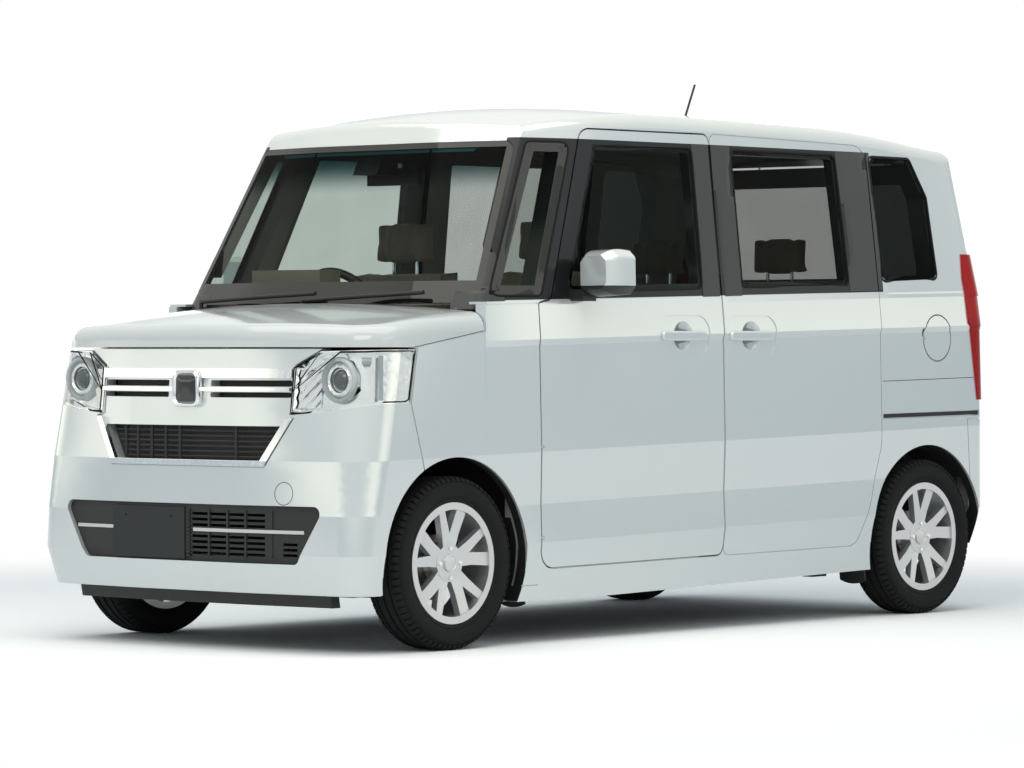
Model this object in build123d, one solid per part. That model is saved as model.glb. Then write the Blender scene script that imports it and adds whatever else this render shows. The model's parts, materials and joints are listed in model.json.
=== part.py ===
"""Tall two-box kei car, built as an assembly of separate panels, glass, lamps, seats and running gear.

Frame: +X to the front, +Y to the car's left, +Z up, millimetres.
The origin is on the ground, under the middle of the overall box.
"""

import os
from math import cos, radians, sin, tan

from build123d import *

# Overall size of the car, without door mirrors and antenna
LENGTH = 3395.0
WIDTH = 1475.0
HEIGHT = 1790.0
WHEELBASE = 2520.0
FRONT_OVERHANG = 498.0
TRACK = 1305.0

# The belt line, the crease below it and the sills all rise towards the back by this angle
RAKE = 1.15

# Walls and gaps
PANEL = 40.0
FRAME_WALL = 24.0
SEAL = 11.0
SHUT = 5.5
SEAM = 3.0
GLASS = 5.0
GLASS_BED = 0.4
SEAT_GAP = 0.3
FLANGE = 34.0

# Wheels and tyres
TYRE_RADIUS = 277.0
TYRE_WIDTH = 155.0
RIM_RADIUS = 194.0
RIM_WIDTH = 128.0
RIM_WALL = 9.0
SPINDLE_RADIUS = 16.0
RUNNING_FIT = 0.05
SPOKE_PAIRS = 5
ARCH_FRONT = 338.0
ARCH_REAR = 330.0

# Front suspension: the steering axis leans inwards by this angle
KINGPIN_LEAN = 10.0
BALL_JOINT_Z = 190.0
BALL_JOINT_IN = 75.0
STRUT_RADIUS = 24.0
STRUT_TOP = 845.0

# Roof and bonnet: highest point and how strongly each is bowed
ROOF_PEAK_X = 120.0
ROOF_BOW_FRONT = 3000.0
ROOF_BOW_REAR = 25000.0
ROOF_CROWN = 4200.0
ROOF_EDGE = 55.0
BONNET_PEAK_X = 980.0
BONNET_PEAK_Z = 1113.0
BONNET_BOW = 3000.0
BONNET_CROWN = 7000.0
BONNET_EDGE = 60.0

# Derived places along the car
FRONT = LENGTH / 2
REAR = -LENGTH / 2
HALF = WIDTH / 2
FRONT_AXLE = FRONT - FRONT_OVERHANG
REAR_AXLE = FRONT_AXLE - WHEELBASE
WHEEL_Y = TRACK / 2
DOOR_FRONT = FRONT_AXLE - 402
DOOR_SEAM = FRONT_AXLE - 1352
DOOR_REAR = FRONT_AXLE - 2243
BELT = 1131.0
CREASE = 985.0
CREASE_TALL = 20.0
BONNET_SEAM = FRONT_AXLE - 141
FLOOR_TOP = 340.0
FAR = 3000.0


def belt_z(x, level=BELT):
    """Height of a line that follows the body's rake."""
    return level - x * tan(radians(RAKE))


# Plan sections of the lower body, from the sill up to the belt line, in mm:
# z at mid length, setback of the nose, setback, inset and radius of the front corner,
# inset of the flank over the front wheel and along the doors, setback of the tail,
# inset and radius of the rear corner
LOWER_SECTIONS = [
    dict(z=150, nose=45, corner=78, corner_in=36, corner_r=100, front_in=28, side_in=26,
         tail=40, tail_in=34, tail_r=80),
    dict(z=345, nose=0, corner=42, corner_in=0.5, corner_r=95, front_in=3, side_in=0,
         tail=0, tail_in=4, tail_r=70),
    dict(z=470, nose=0, corner=46, corner_in=0, corner_r=105, front_in=2.6, side_in=6.5,
         tail=1, tail_in=3.5, tail_r=70),
    dict(z=640, nose=5, corner=62, corner_in=1, corner_r=130, front_in=2, side_in=0.2,
         tail=3, tail_in=3, tail_r=70),
    dict(z=CREASE, nose=28, corner=128, corner_in=17, corner_r=150, front_in=8.4, side_in=9,
         tail=7, tail_in=10, tail_r=70),
    dict(z=CREASE + CREASE_TALL, nose=29, corner=132, corner_in=18, corner_r=150, front_in=8.9, side_in=2.5,
         tail=7, tail_in=5, tail_r=70),
    dict(z=BELT, nose=38, corner=156, corner_in=24, corner_r=160, front_in=12, side_in=15.5,
         tail=7.5, tail_in=19, tail_r=80),
]
NOSE_SECTIONS = [row for row in LOWER_SECTIONS if not CREASE <= row["z"] <= CREASE + CREASE_TALL]

# Plan sections of the cabin above the belt line, in mm: z, then the outline's turning points
# from the middle of the windscreen round to the middle of the tailgate:
# screen, windscreen pillar, door front, door middle, door rear, rear corner, tail
CABIN_POINTS = ("screen", "pillar", "door_front", "door_middle", "door_rear", "corner", "tail")
CABIN_RADII = dict(screen=900, pillar=40, door_front=600, door_middle=3000, door_rear=3000, corner=80,
                   tail=500)
CABIN_SECTIONS = [
    dict(z=1112, screen=(FRONT_AXLE - 108, 330), pillar=(FRONT_AXLE - 176, HALF - 70),
         door_front=(FRONT_AXLE - 419, HALF - 18), door_middle=(DOOR_SEAM - 145, HALF - 13),
         door_rear=(DOOR_REAR - 56, HALF - 13), corner=(REAR + 8, HALF - 16), tail=(REAR + 1, 380)),
    dict(z=1830, screen=(FRONT_AXLE - 489, 300), pillar=(FRONT_AXLE - 548, HALF - 184),
         door_front=(FRONT_AXLE - 790, HALF - 113), door_middle=(DOOR_SEAM - 145, HALF - 88),
         door_rear=(DOOR_REAR - 56, HALF - 109), corner=(REAR + 68, HALF - 156), tail=(REAR + 57, 330)),
]


# Helpers for outlines and blocks


def block(x0, x1, y0, y1, z0, z1):
    """A box between the given limits."""
    return Pos((x0 + x1) / 2, (y0 + y1) / 2, (z0 + z1) / 2) * Box(abs(x1 - x0), abs(y1 - y0), abs(z1 - z0))


def loop_face(points, radius=0.0):
    """A flat face inside a closed outline with rounded corners."""
    return make_face(FilletPolyline(*points, radius=radius, close=True))


def side_prism(points, y0, y1, radius=0.0, grow=0.0):
    """An outline in side view (x, z), pushed from y0 to y1."""
    face = loop_face(points, radius)
    if grow:
        face = offset(face, grow, kind=Kind.INTERSECTION)
    return extrude(Plane.XZ.offset(-y0) * face, y1 - y0, dir=(0, 1, 0))


def front_prism(points, x0, x1, radius=0.0, grow=0.0):
    """An outline in front view (y, z), pushed from x0 to x1."""
    face = loop_face(points, radius)
    if grow:
        face = offset(face, grow, kind=Kind.INTERSECTION)
    return extrude(Plane.YZ.offset(x0) * face, x1 - x0, dir=(1, 0, 0))


def top_prism(points, z0, z1, radius=0.0):
    """An outline in plan (x, y), pushed from z0 to z1."""
    return extrude(Pos(0, 0, z0) * loop_face(points, radius), z1 - z0, dir=(0, 0, 1))


def rod(start, end, radius):
    """A round bar between two points."""
    start, end = Vector(start), Vector(end)
    return Plane(start, z_dir=end - start) * extrude(Circle(radius), (end - start).length)


def across(x, z, radius, y0, y1):
    """A round bar along Y."""
    return rod((x, y0, z), (x, y1, z), radius)


def flip(shape):
    """The same piece on the car's right side."""
    return mirror(shape, about=Plane.XZ)


def whole(half):
    """A middle piece from its left half."""
    return half + flip(half)


def both(shape):
    """A left piece and its right twin, as two solids of one node."""
    return Compound(children=[*shape.solids(), *flip(shape).solids()])


# Body envelope: the closed outer form, and copies of it taken in by a wall's thickness


def raked_face(z, turns):
    """The left half of a plan outline, on a plane that follows the rake."""
    left = [(x / cos(radians(RAKE)), y) for x, y, _ in turns]
    right = [(x, -y) for x, y in reversed(left)]
    radii = [r for _, _, r in turns]
    plane = Plane((0, 0, z), x_dir=(cos(radians(RAKE)), 0, -sin(radians(RAKE))),
                  z_dir=(sin(radians(RAKE)), 0, cos(radians(RAKE))))
    half = loop_face(left + right, radii + radii[::-1]) & (Pos(0, FAR / 2) * Rectangle(2 * FAR, FAR))
    return plane * half


def lower_turns(row, inset):
    """Turning points of one lower plan section, taken in by inset."""
    side = HALF - row["side_in"] - inset
    return [
        (FRONT - row["nose"] - inset, 240, 400),
        (FRONT - row["corner"] - inset, HALF - row["corner_in"] - inset, max(row["corner_r"] - inset, 20)),
        (FRONT_AXLE - 50, HALF - row["front_in"] - inset, 900),
        (FRONT_AXLE - 620, side, 900),
        (REAR_AXLE + 220, side, 900),
        (REAR + row["tail"] + 8 + inset, HALF - row["tail_in"] - inset, max(row["tail_r"] - inset, 15)),
        (REAR + row["tail"] + inset, 400, 500),
    ]


def cabin_turns(row, inset):
    """Turning points of one cabin plan section, taken in by inset."""
    ahead = dict(screen=1.12, pillar=1.0, corner=-1.0, tail=-1.0)
    inward = dict(screen=0.0, tail=0.0)
    turns = []
    for name in CABIN_POINTS:
        x, y = row[name]
        radius = CABIN_RADII[name]
        if name in ("pillar", "corner"):
            radius = max(radius - inset, 26)
        turns.append((x - inset * ahead.get(name, 0.0), y - inset * inward.get(name, 1.0), radius))
    return turns


def crowned(stations, crown):
    """A block under a doubly bowed top, lofted through crown arcs at a few stations (x, z)."""
    span = HALF + 160
    faces = []
    for x, z in stations:
        drop = span * span / (2 * crown)
        arch = ThreePointArc((-span, z - drop), (0, z), (span, z - drop))
        sides = Polyline((span, z - drop), (span, z - 700), (-span, z - 700), (-span, z - drop))
        faces.append(Plane.YZ.offset(x) * make_face(Curve() + [arch, sides]))
    return loft(faces)


def bowed(x, peak_x, peak_z, bow):
    """A point on the middle line of a bowed top."""
    return (x, peak_z - (x - peak_x) ** 2 / (2 * bow))


def round_top(solid, lowest, edge_radius, x_from):
    """Rounds the rim of the upward faces above a height, ahead of x_from."""
    tops = [f for f in solid.faces() if f.center().Z > lowest and f.normal_at().Z > 0.8]
    rims = [e for f in tops for e in f.edges()]
    rim = [e for e in rims if sum(e.is_same(other) for other in rims) == 1
           and e.center().X > x_from and e.center().Y > 1]
    return fillet(rim, edge_radius)


def stack(rows, inset):
    """Straight lofts between neighbouring plan sections."""
    faces = [raked_face(row["z"] - (inset if row is rows[0] else 0), lower_turns(row, inset)) for row in rows]
    return Part() + [loft([low, high], ruled=True) for low, high in zip(faces, faces[1:])]


def lower_body(inset):
    """The body below the belt line, with the bonnet's bowed top."""
    flanks = stack(LOWER_SECTIONS, inset) & block(-FAR, BONNET_SEAM, -FAR, FAR, -FAR, FAR)
    reach = FRONT + 60 - BONNET_PEAK_X
    lid = crowned([bowed(BONNET_PEAK_X + part * reach, BONNET_PEAK_X, BONNET_PEAK_Z - inset, BONNET_BOW)
                   for part in (0.0, 0.33, 0.67, 1.0)], BONNET_CROWN)
    nose = stack(NOSE_SECTIONS, inset) & block(BONNET_SEAM, FAR, -FAR, FAR, -FAR, FAR)
    nose -= block(BONNET_SEAM, FAR, -FAR, FAR, BONNET_PEAK_Z - 450, FAR) - lid
    return flanks + round_top(nose, 900, max(BONNET_EDGE - inset, 8), BONNET_SEAM + 5)


def cabin(inset):
    """The body above the belt line, under the roof's bowed top."""
    sections = [raked_face(row["z"], cabin_turns(row, inset)) for row in CABIN_SECTIONS]
    solid = loft(sections, ruled=True)
    peak = HEIGHT - inset
    stations = [bowed(ROOF_PEAK_X + x, ROOF_PEAK_X, peak, ROOF_BOW_REAR if x < 0 else ROOF_BOW_FRONT)
                for x in (-1900, -1200, -550, 0, 260, 520, 800)]
    roof = crowned(stations, ROOF_CROWN)
    return round_top(solid & roof, HEIGHT - 300, max(ROOF_EDGE - inset, 12), -FAR)


def envelope(inset):
    """The left half of the body's closed form, taken in by inset on every side."""
    return lower_body(inset) + cabin(inset)



def seated(room):
    """A fixed panel: a shut line shows in its outer skin, and behind that it sits close in its place."""
    return (PANE & room(-SEAM)) + (SUBSKIN & room(-SEAT_GAP))


def hinge(at, along, toward, reach, pin=2.4):
    """A pin in a slot and the tongue it holds, at one point of a hinge line."""
    place = Plane(at, x_dir=toward, z_dir=along)
    slot = place * Pos(reach / 2, 0, 0) * Box(reach + 2 * SLOT_ROOM, SLOT_DEEP, SLOT_TALL)
    shaft = place * Cylinder(pin, SLOT_TALL + 4)
    tongue = place * (Pos(reach / 2 + 2, 0, 0) * Box(reach + 4, 9, TONGUE) + Cylinder(4.5, TONGUE))
    tongue -= place * Cylinder(pin + SEAT_GAP, SLOT_TALL)
    return slot, shaft, tongue


def blocks(rows):
    """Boxes from a table of limits, joined."""
    return Part() + [block(*row["x"], *row["y"], *row["z"]) for row in rows]


def polar(radius, angle):
    """A point of a side view outline, from its distance to the axle and its angle."""
    return (radius * cos(radians(angle)), radius * sin(radians(angle)))


def largest(shape):
    """The piece itself, without the slivers that its cuts leave."""
    return shape.solids().sort_by(SortBy.VOLUME)[-1]


def clear_of_body(shape):
    """A small piece set on the body's outside, cut back to sit just off the surface."""
    return shape - Pos(0, 0, SEAT_GAP) * OUTER - Pos(0, 0, SEAT_GAP) * flip(OUTER)


def save(node, shape):
    """Writes one piece of the car."""
    export_step(shape, f"parts/{node}.step")


os.makedirs("parts", exist_ok=True)
OUTER = envelope(0)
UNDER_GLASS = envelope(GLASS)
PANEL_BACK = envelope(PANEL)
FRAME_FACE = envelope(PANEL + SEAL)
CABIN_SPACE = envelope(PANEL + SEAL + FRAME_WALL)
SKIN = OUTER - PANEL_BACK
WALL = OUTER - CABIN_SPACE
PANE = OUTER - UNDER_GLASS
SUBSKIN = UNDER_GLASS - PANEL_BACK

# Hinge slots and tongues
SLOT_ROOM, SLOT_DEEP, SLOT_TALL, TONGUE = 7.0, 34.0, 9.0, 4.0

# Outlines of the doors and windows in side view (x, z), with corner radii
BELT_STEP = DOOR_FRONT - 70
FRONT_DOOR = [(DOOR_FRONT, 240), (DOOR_SEAM, 251), (DOOR_SEAM - 6, 1690), (FRONT_AXLE - 712, 1690),
              (BELT_STEP, 1122), (DOOR_FRONT, 1110)]
FRONT_DOOR_R = [70, 30, 30, 60, 15, 12]
SLIDING_DOOR = [(DOOR_SEAM, 251), (DOOR_REAR + 140, 258), (DOOR_REAR + 58, 420), (DOOR_REAR, 610),
                (DOOR_REAR - 6, 1676), (DOOR_SEAM - 6, 1690)]
SLIDING_DOOR_R = [30, 60, 120, 160, 70, 30]
FRONT_WINDOW = [(BELT_STEP - 84, 1146), (FRONT_AXLE - 764, 1634), (DOOR_SEAM + 88, 1638),
                (DOOR_SEAM + 94, 1160)]
SLIDING_WINDOW = [(DOOR_SEAM - 114, 1166), (DOOR_SEAM - 110, 1638), (DOOR_REAR + 178, 1638),
                  (DOOR_REAR + 166, 1178)]
FRONT_QUARTER = [(FRONT_AXLE - 222, 1130), (FRONT_AXLE - 432, 1130), (FRONT_AXLE - 662, 1640),
                 (FRONT_AXLE - 494, 1640)]
REAR_QUARTER = [(DOOR_REAR - 26, 1192), (DOOR_REAR - 20, 1638), (DOOR_REAR - 286, 1638),
                (DOOR_REAR - 366, 1500), (DOOR_REAR - 366, 1204)]
WINDOW_R = 28.0

# Outlines at the front and back, in front view (y, z)
WINDSCREEN = [(-654, 1124), (654, 1124), (575, 1642), (-575, 1642)]
TAILGATE = [(-604, 520), (604, 520), (612, 1300), (556, 1640), (-556, 1640), (-612, 1300)]
REAR_WINDOW = [(-560, 1180), (560, 1180), (512, 1592), (-512, 1592)]
LAMP = [(430, 752), (432, 905), (524, 953), (HALF + 60, 960), (HALF + 60, 800), (560, 762)]
GRILLE = [(-526, 961), (-430, 909), (-430, 752), (-452, 744), (-350, 586),
          (350, 586), (452, 744), (430, 752), (430, 909), (526, 961)]
LOWER_GRILLE = [(-595, 466), (-480, 282), (480, 282), (595, 466)]

# Outlines of the outer panels in side view (x, z)
LAMP_SIDE = [(FRONT_AXLE + 236, 700), (FRONT_AXLE + 172, 990), (FRONT + 100, 990), (FRONT + 100, 700)]
BONNET_SIDE = [(FRONT + 100, 964), (FRONT_AXLE + 200, 962), (BONNET_SEAM, 1016), (BONNET_SEAM, 1400),
               (FRONT + 100, 1400)]
BONNET_PLAN = [(BONNET_SEAM, -FAR), (BONNET_SEAM, -690), (BONNET_SEAM + 76, -330), (BONNET_SEAM + 76, 330),
               (BONNET_SEAM, 690), (BONNET_SEAM, FAR), (FAR, FAR), (FAR, -FAR)]
BUMPER_SIDE = [(FRONT_AXLE + 216, 800), (FRONT_AXLE + 152, 560), (FRONT_AXLE + 152, 186), (FRONT + 100, 186),
               (FRONT + 100, 800)]
FENDER = [(DOOR_FRONT - SEAM, 190), (DOOR_FRONT - SEAM, 1108), (BONNET_SEAM, 1102), (BONNET_SEAM, 1016),
          (FRONT_AXLE + 200, 962), (FRONT_AXLE + 176, 961), (FRONT_AXLE + 212, 790), (FRONT_AXLE + 152, 560),
          (FRONT_AXLE + 152, 190)]
FRAME_SIDE = [(REAR - 50, 150), (DOOR_FRONT + 90, 140), (DOOR_FRONT + 90, 640), (DOOR_FRONT + 45, 700),
              (DOOR_FRONT + 45, 1096), (FRONT_AXLE - 150, 1096), (FRONT_AXLE - 150, 1800), (REAR - 50, 1850)]
REAR_BUMPER_SIDE = [(REAR - 50, 238), (REAR_AXLE - 180, 238), (REAR_AXLE - 262, 420), (REAR_AXLE - 240, 700),
                    (REAR - 50, 700)]
TAIL_LAMP_SIDE = [(REAR - 50, 766), (REAR + 74, 766), (REAR + 112, 1030), (REAR + 128, 1046),
                  (REAR + 136, 1210), (REAR + 122, 1296), (REAR - 50, 1296)]
TAIL_LAMP_IN = 613.0
ROOF_SPLIT = 545.0
ROOF_LOW = HEIGHT - 240
DOOR_IN = ROOF_SPLIT + 25

front_arch = across(FRONT_AXLE, TYRE_RADIUS, ARCH_FRONT, 0, FAR)
rear_arch = across(REAR_AXLE, TYRE_RADIUS, ARCH_REAR, WHEEL_Y - TYRE_WIDTH / 2 - 45, FAR)


def side_bed(outline, radius=WINDOW_R):
    """Room for a side window: a recess for the glass and a smaller daylight opening behind it."""
    recess = side_prism(outline, HALF - 300, FAR, radius) - UNDER_GLASS
    return recess + side_prism(outline, HALF - 300, FAR, radius, -FLANGE / 2)


def front_bed(outline, x0, x1, radius):
    """Room for a front or rear window."""
    recess = front_prism(outline, x0, x1, radius) - UNDER_GLASS
    return recess + front_prism(outline, x0, x1, radius, -FLANGE)


def side_pane(outline, radius=WINDOW_R):
    """A side window's glass, with a small gap all round."""
    return PANE & side_prism(outline, HALF - 300, FAR, radius, -GLASS_BED)


def lamp_outline(grow=0.0):
    """The headlamp's outline, wrapped round the front corner."""
    return (front_prism(LAMP, FRONT_AXLE, FAR, 0, grow)
            & side_prism(LAMP_SIDE, 0, FAR, 0, grow))


windscreen_bed = front_bed(WINDSCREEN, FRONT_AXLE - 700, FRONT, 40)
rear_window_bed = front_bed(REAR_WINDOW, REAR - 100, REAR + 250, 40)
tailgate_room = front_prism(TAILGATE, REAR - 100, REAR + 230, 30)
lamp_room = lamp_outline()
bonnet_room = side_prism(BONNET_SIDE, -1, FAR) & top_prism(BONNET_PLAN, 0, FAR)
grille_room = front_prism(GRILLE, FRONT_AXLE + 100, FAR)
lower_grille_room = front_prism(LOWER_GRILLE, FRONT_AXLE + 100, FAR, 25)
tail_lamp_room = side_prism(TAIL_LAMP_SIDE, TAIL_LAMP_IN, FAR)
rear_bumper_room = side_prism(REAR_BUMPER_SIDE, -1, FAR)

# Bonnet
BONNET_AXIS = (BONNET_SEAM + 1.5, 1085.0)
BONNET_HINGE_Y = 600.0
bonnet = SKIN & side_prism(BONNET_SIDE, -1, FAR, 0, -SHUT / 2)
bonnet &= Pos(SHUT, 0, 0) * top_prism(BONNET_PLAN, 0, FAR)
bonnet_hinge = hinge((BONNET_AXIS[0], BONNET_HINGE_Y, BONNET_AXIS[1]), (0, 1, 0), (1, 0, 0), 28)
bonnet += bonnet_hinge[2] & OUTER
save("bonnet", whole(bonnet))

# Front fenders
DOOR_AXIS = (DOOR_FRONT - SHUT - 3, HALF - 3)
DOOR_HINGE_Z = (345.0, 640.0)
door_hinges = [hinge((*DOOR_AXIS, z), (0, 0, 1), (1, 0, 0), SHUT + 3) for z in DOOR_HINGE_Z]
fender = seated(lambda grow: side_prism(FENDER, HALF - 200, FAR, 0, grow)
                & block(DOOR_FRONT, FAR, 0, FAR, 0, FAR))
fender = fender - front_arch - Pos(0, 0, SHUT / 2) * bonnet_room
fender += [tongue & OUTER for _, _, tongue in door_hinges]
save("front_fenders", both(fender))

# Front bumper, open for the two grilles and the lamps
bumper = seated(lambda grow: side_prism(BUMPER_SIDE, -1, FAR, 0, grow))
bumper = bumper - front_arch - lamp_room - grille_room - lower_grille_room
save("front_bumper", largest(whole(bumper)))

# Front grille: a painted panel with two rows of slots and an intake, set back from the nose
GRILLE_BACK = 10.0
SLOT_IN, SLOT_OUT, SLOT_R = 95.0, 424.0, 5.0
SLOT_ROWS = [dict(low=806, high=823), dict(low=841, high=861)]
INTAKE = [(0, 604), (338, 604), (412, 716), (0, 716)]
grille = (Pos(-GRILLE_BACK, 0, 0) * SKIN) & front_prism(GRILLE, FRONT_AXLE + 100, FAR, 0, -SEAT_GAP)
for row in SLOT_ROWS:
    grille -= front_prism([(SLOT_IN, row["low"]), (SLOT_OUT, row["low"]), (SLOT_OUT, row["high"]),
                           (SLOT_IN, row["high"])], FRONT_AXLE, FAR, SLOT_R)
grille -= front_prism(INTAKE, FRONT_AXLE, FAR)
save("front_grille", whole(grille))

# Bright trim: the bar between the lamps, a thin bar between the slots and the bright U round the intake
BAR = [(-1, 868), (426, 868), (426, 898), (-1, 898)]
THIN_BAR = [(-1, 826), (427, 826), (427, 838), (-1, 838)]
U_TRIM = [(-1, 588), (346, 588), (447, 742), (420, 742), (330, 607), (-1, 607)]
proud = (Pos(4, 0, 0) * OUTER) - (Pos(-GRILLE_BACK, 0, 0) * OUTER)
trims = [whole(proud & front_prism(outline, FRONT_AXLE, FAR)) for outline in (BAR, THIN_BAR, U_TRIM)]
save("grille_trim", Compound(children=[solid for trim in trims for solid in trim.solids()]))

# Black grilles: behind the slots and the intake, and the low one between the bumper's ends
LOW_BACK, BACKING = 14.0, 12.0
LOUVRE_LOW, LOUVRE_STEP, LOUVRE_TALL, LOUVRES = 304.0, 18.0, 9.0, 8
LOUVRE_SPANS = [dict(y=(26, 182)), dict(y=(192, 344))]
END_SLOT_Y, END_SLOT_LOW, END_SLOT_STEP, END_SLOTS = (418, 476), 306.0, 17.0, 3
backing = (Pos(-GRILLE_BACK, 0, 0) * PANEL_BACK) - (Pos(-GRILLE_BACK - BACKING, 0, 0) * PANEL_BACK)
backing &= front_prism(GRILLE, FRONT_AXLE, FAR, 0, -16)
low_grille = (Pos(-LOW_BACK, 0, 0) * SKIN) & front_prism(LOWER_GRILLE, FRONT_AXLE, FAR, 25, -SEAT_GAP)
low_grille = whole(low_grille)
for number in range(LOUVRES):
    z = LOUVRE_LOW + number * LOUVRE_STEP
    for span in LOUVRE_SPANS:
        low_grille -= block(FRONT - 200, FAR, *span["y"], z, z + LOUVRE_TALL)
for number in range(END_SLOTS):
    z = END_SLOT_LOW + number * END_SLOT_STEP
    low_grille -= block(FRONT - 200, FAR, *END_SLOT_Y, z, z + LOUVRE_TALL)

# Number plate, blank, with two screw holes that run on into the low grille
PLATE_Y, PLATE_Z, PLATE_WIDE, PLATE_TALL, PLATE_THICK = -171.0, 371.0, 330.0, 165.0, 4.0
PLATE_HOLE, PLATE_SPACING, PLATE_DROP = 3.3, 210.0, 30.0
plate_x = FRONT - LOW_BACK + SEAT_GAP
plate = block(plate_x, plate_x + PLATE_THICK, PLATE_Y - PLATE_WIDE / 2, PLATE_Y + PLATE_WIDE / 2,
              PLATE_Z - PLATE_TALL / 2, PLATE_Z + PLATE_TALL / 2)
for side in (-1, 1):
    hole_y, hole_z = PLATE_Y + side * PLATE_SPACING / 2, PLATE_Z + PLATE_TALL / 2 - PLATE_DROP
    hole = rod((FRONT - 120, hole_y, hole_z), (FRONT + 20, hole_y, hole_z), PLATE_HOLE)
    plate -= hole
    low_grille -= hole
save("number_plate", plate)
save("intake_grilles", Compound(children=[*whole(backing).solids(), *low_grille.solids()]))

# Lip under the bumper
LIP_BACK, LIP_SIDE, LIP_LOW, LIP_HIGH = 30.0, 571.0, 146.0, 186.0
lip = (Pos(-LIP_BACK, 0, 0) * SKIN) & block(FRONT_AXLE + 330, FAR, -1, LIP_SIDE, LIP_LOW, LIP_HIGH)
save("under_spoiler", whole(lip))

# Headlamps: a housing with a bowl and a projector, under a clear lens
BOWL_Y, BOWL_Z, BOWL_R, BOWL_X = 588.0, 862.0, 64.0, FRONT - 150
PROJECTOR_R, PROJECTOR_LONG = 36.0, 34.0
HOUSING_RIM = 7.0
save("headlamp_lenses", both(PANE & lamp_outline(-SEAM)))
lamp_front = Pos(-SEAT_GAP, -SEAT_GAP, 0) * UNDER_GLASS
lamp_floor = Pos(-34, -26, 0) * UNDER_GLASS
lamp_back = Pos(-84, -64, 0) * UNDER_GLASS
housing = (lamp_front - lamp_back) & lamp_outline(-SEAT_GAP)
housing -= lamp_outline(-SEAM / 2 - HOUSING_RIM) - lamp_floor
housing -= rod((BOWL_X, BOWL_Y, BOWL_Z), (FRONT + 50, BOWL_Y, BOWL_Z), BOWL_R)
housing += rod((BOWL_X - 2, BOWL_Y, BOWL_Z), (BOWL_X + PROJECTOR_LONG, BOWL_Y, BOWL_Z), PROJECTOR_R)
save("headlamp_housings", both(housing))

# Windscreen and the other fixed glass
windscreen = PANE & front_prism(WINDSCREEN, FRONT_AXLE - 700, FRONT, 40, -GLASS_BED)
save("windscreen", whole(windscreen))
quarters = [*side_pane(FRONT_QUARTER).solids(), *side_pane(REAR_QUARTER, 40).solids()]
save("quarter_glass", Compound(children=[*quarters, *[flip(q) for q in quarters]]))

# Door handles: a shallow panel, a scoop for the hand and a grip across it
HANDLE_Z, HANDLE_LONG, HANDLE_TALL, HANDLE_OUT, HANDLE_ROUND = 1000.0, 235.0, 34.0, 3.5, 7.0
RECESS_LONG, RECESS_TALL, RECESS_R, RECESS_DEEP = 281.0, 138.0, 60.0, 3.0
SCOOP_R, SCOOP_OUT = 70.0, 40.0
FRONT_HANDLE_X, SLIDING_HANDLE_X = 62.0, -305.0


def oblong(x, z, long, tall):
    """Corners of an upright rectangle in side view."""
    return [(x - long / 2, z - tall / 2), (x + long / 2, z - tall / 2),
            (x + long / 2, z + tall / 2), (x - long / 2, z + tall / 2)]


def with_handle(door, x):
    """A door with its handle pressed in at x."""
    recess = side_prism(oblong(x, HANDLE_Z, RECESS_LONG, RECESS_TALL), HALF - 60, FAR, RECESS_R)
    recess -= Pos(0, -RECESS_DEEP, 0) * OUTER
    grip = side_prism(oblong(x, HANDLE_Z, HANDLE_LONG, HANDLE_TALL), HALF - 15, HALF + HANDLE_OUT,
                      HANDLE_TALL / 2 - 0.1)
    grip = fillet(grip.faces().sort_by(Axis.Y)[-1].edges(), HANDLE_ROUND)
    return door - recess - Pos(x, HALF + SCOOP_OUT, HANDLE_Z) * Sphere(SCOOP_R) + grip


# Front doors and their glass
front_door = SKIN & side_prism(FRONT_DOOR, DOOR_IN, FAR, FRONT_DOOR_R, -SHUT)
front_door -= side_bed(FRONT_WINDOW)
for slot, shaft, _ in door_hinges:
    front_door = front_door - slot + shaft
front_door = with_handle(front_door, FRONT_HANDLE_X)
front_glass = side_pane(FRONT_WINDOW)
save("front_door_left", front_door)
save("front_door_right", flip(front_door))
save("front_door_glass_left", front_glass)
save("front_door_glass_right", flip(front_glass))

# Sliding rear doors and their glass
sliding_door = seated(lambda grow: side_prism(SLIDING_DOOR, DOOR_IN, FAR, SLIDING_DOOR_R, grow))
sliding_door -= side_bed(SLIDING_WINDOW)
save("sliding_doors", both(with_handle(sliding_door, SLIDING_HANDLE_X)))
save("sliding_door_glass", both(side_pane(SLIDING_WINDOW)))

# Roof
TAILGATE_AXIS = (REAR + 42.0, 1626.0)
TAILGATE_HINGE_Y = 300.0
TAILGATE_TOP = 1631.0
roof = SKIN & block(-FAR, FAR, -1, ROOF_SPLIT, ROOF_LOW, FAR)
roof = roof - windscreen_bed - tailgate_room
tailgate_hinge = hinge((TAILGATE_AXIS[0], TAILGATE_HINGE_Y, TAILGATE_AXIS[1]), (0, 1, 0), (0, 0, 1), 14)
roof += tailgate_hinge[2] & OUTER
save("roof_panel", whole(roof))

# Side frames: pillars, sills, door openings and rear quarters
RAIL_Z, RAIL_RISE, RAIL_TALL, RAIL_DEEP = 703.0, 6.0, 20.0, 22.0
RAIL = [(DOOR_REAR - 8, RAIL_Z), (REAR + 58, RAIL_Z + RAIL_RISE), (REAR + 58, RAIL_Z + RAIL_RISE + RAIL_TALL),
        (DOOR_REAR - 8, RAIL_Z + RAIL_TALL)]
frame = WALL & side_prism(FRAME_SIDE, 0, FAR)
frame -= block(-FAR, FAR, -1, ROOF_SPLIT, ROOF_LOW, FAR)
frame -= block(DOOR_FRONT + 45, FAR, -1, 640, 0, 1150)
frame -= side_prism(FENDER, HALF - 200, FAR) & block(DOOR_FRONT, FAR, 0, FAR, 0, FAR)
inner = FRAME_FACE - CABIN_SPACE
frame += inner & side_prism(FRAME_SIDE, 0, FAR) & block(DOOR_FRONT - 1, FAR, 640, FAR, 150, 1090)
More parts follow.
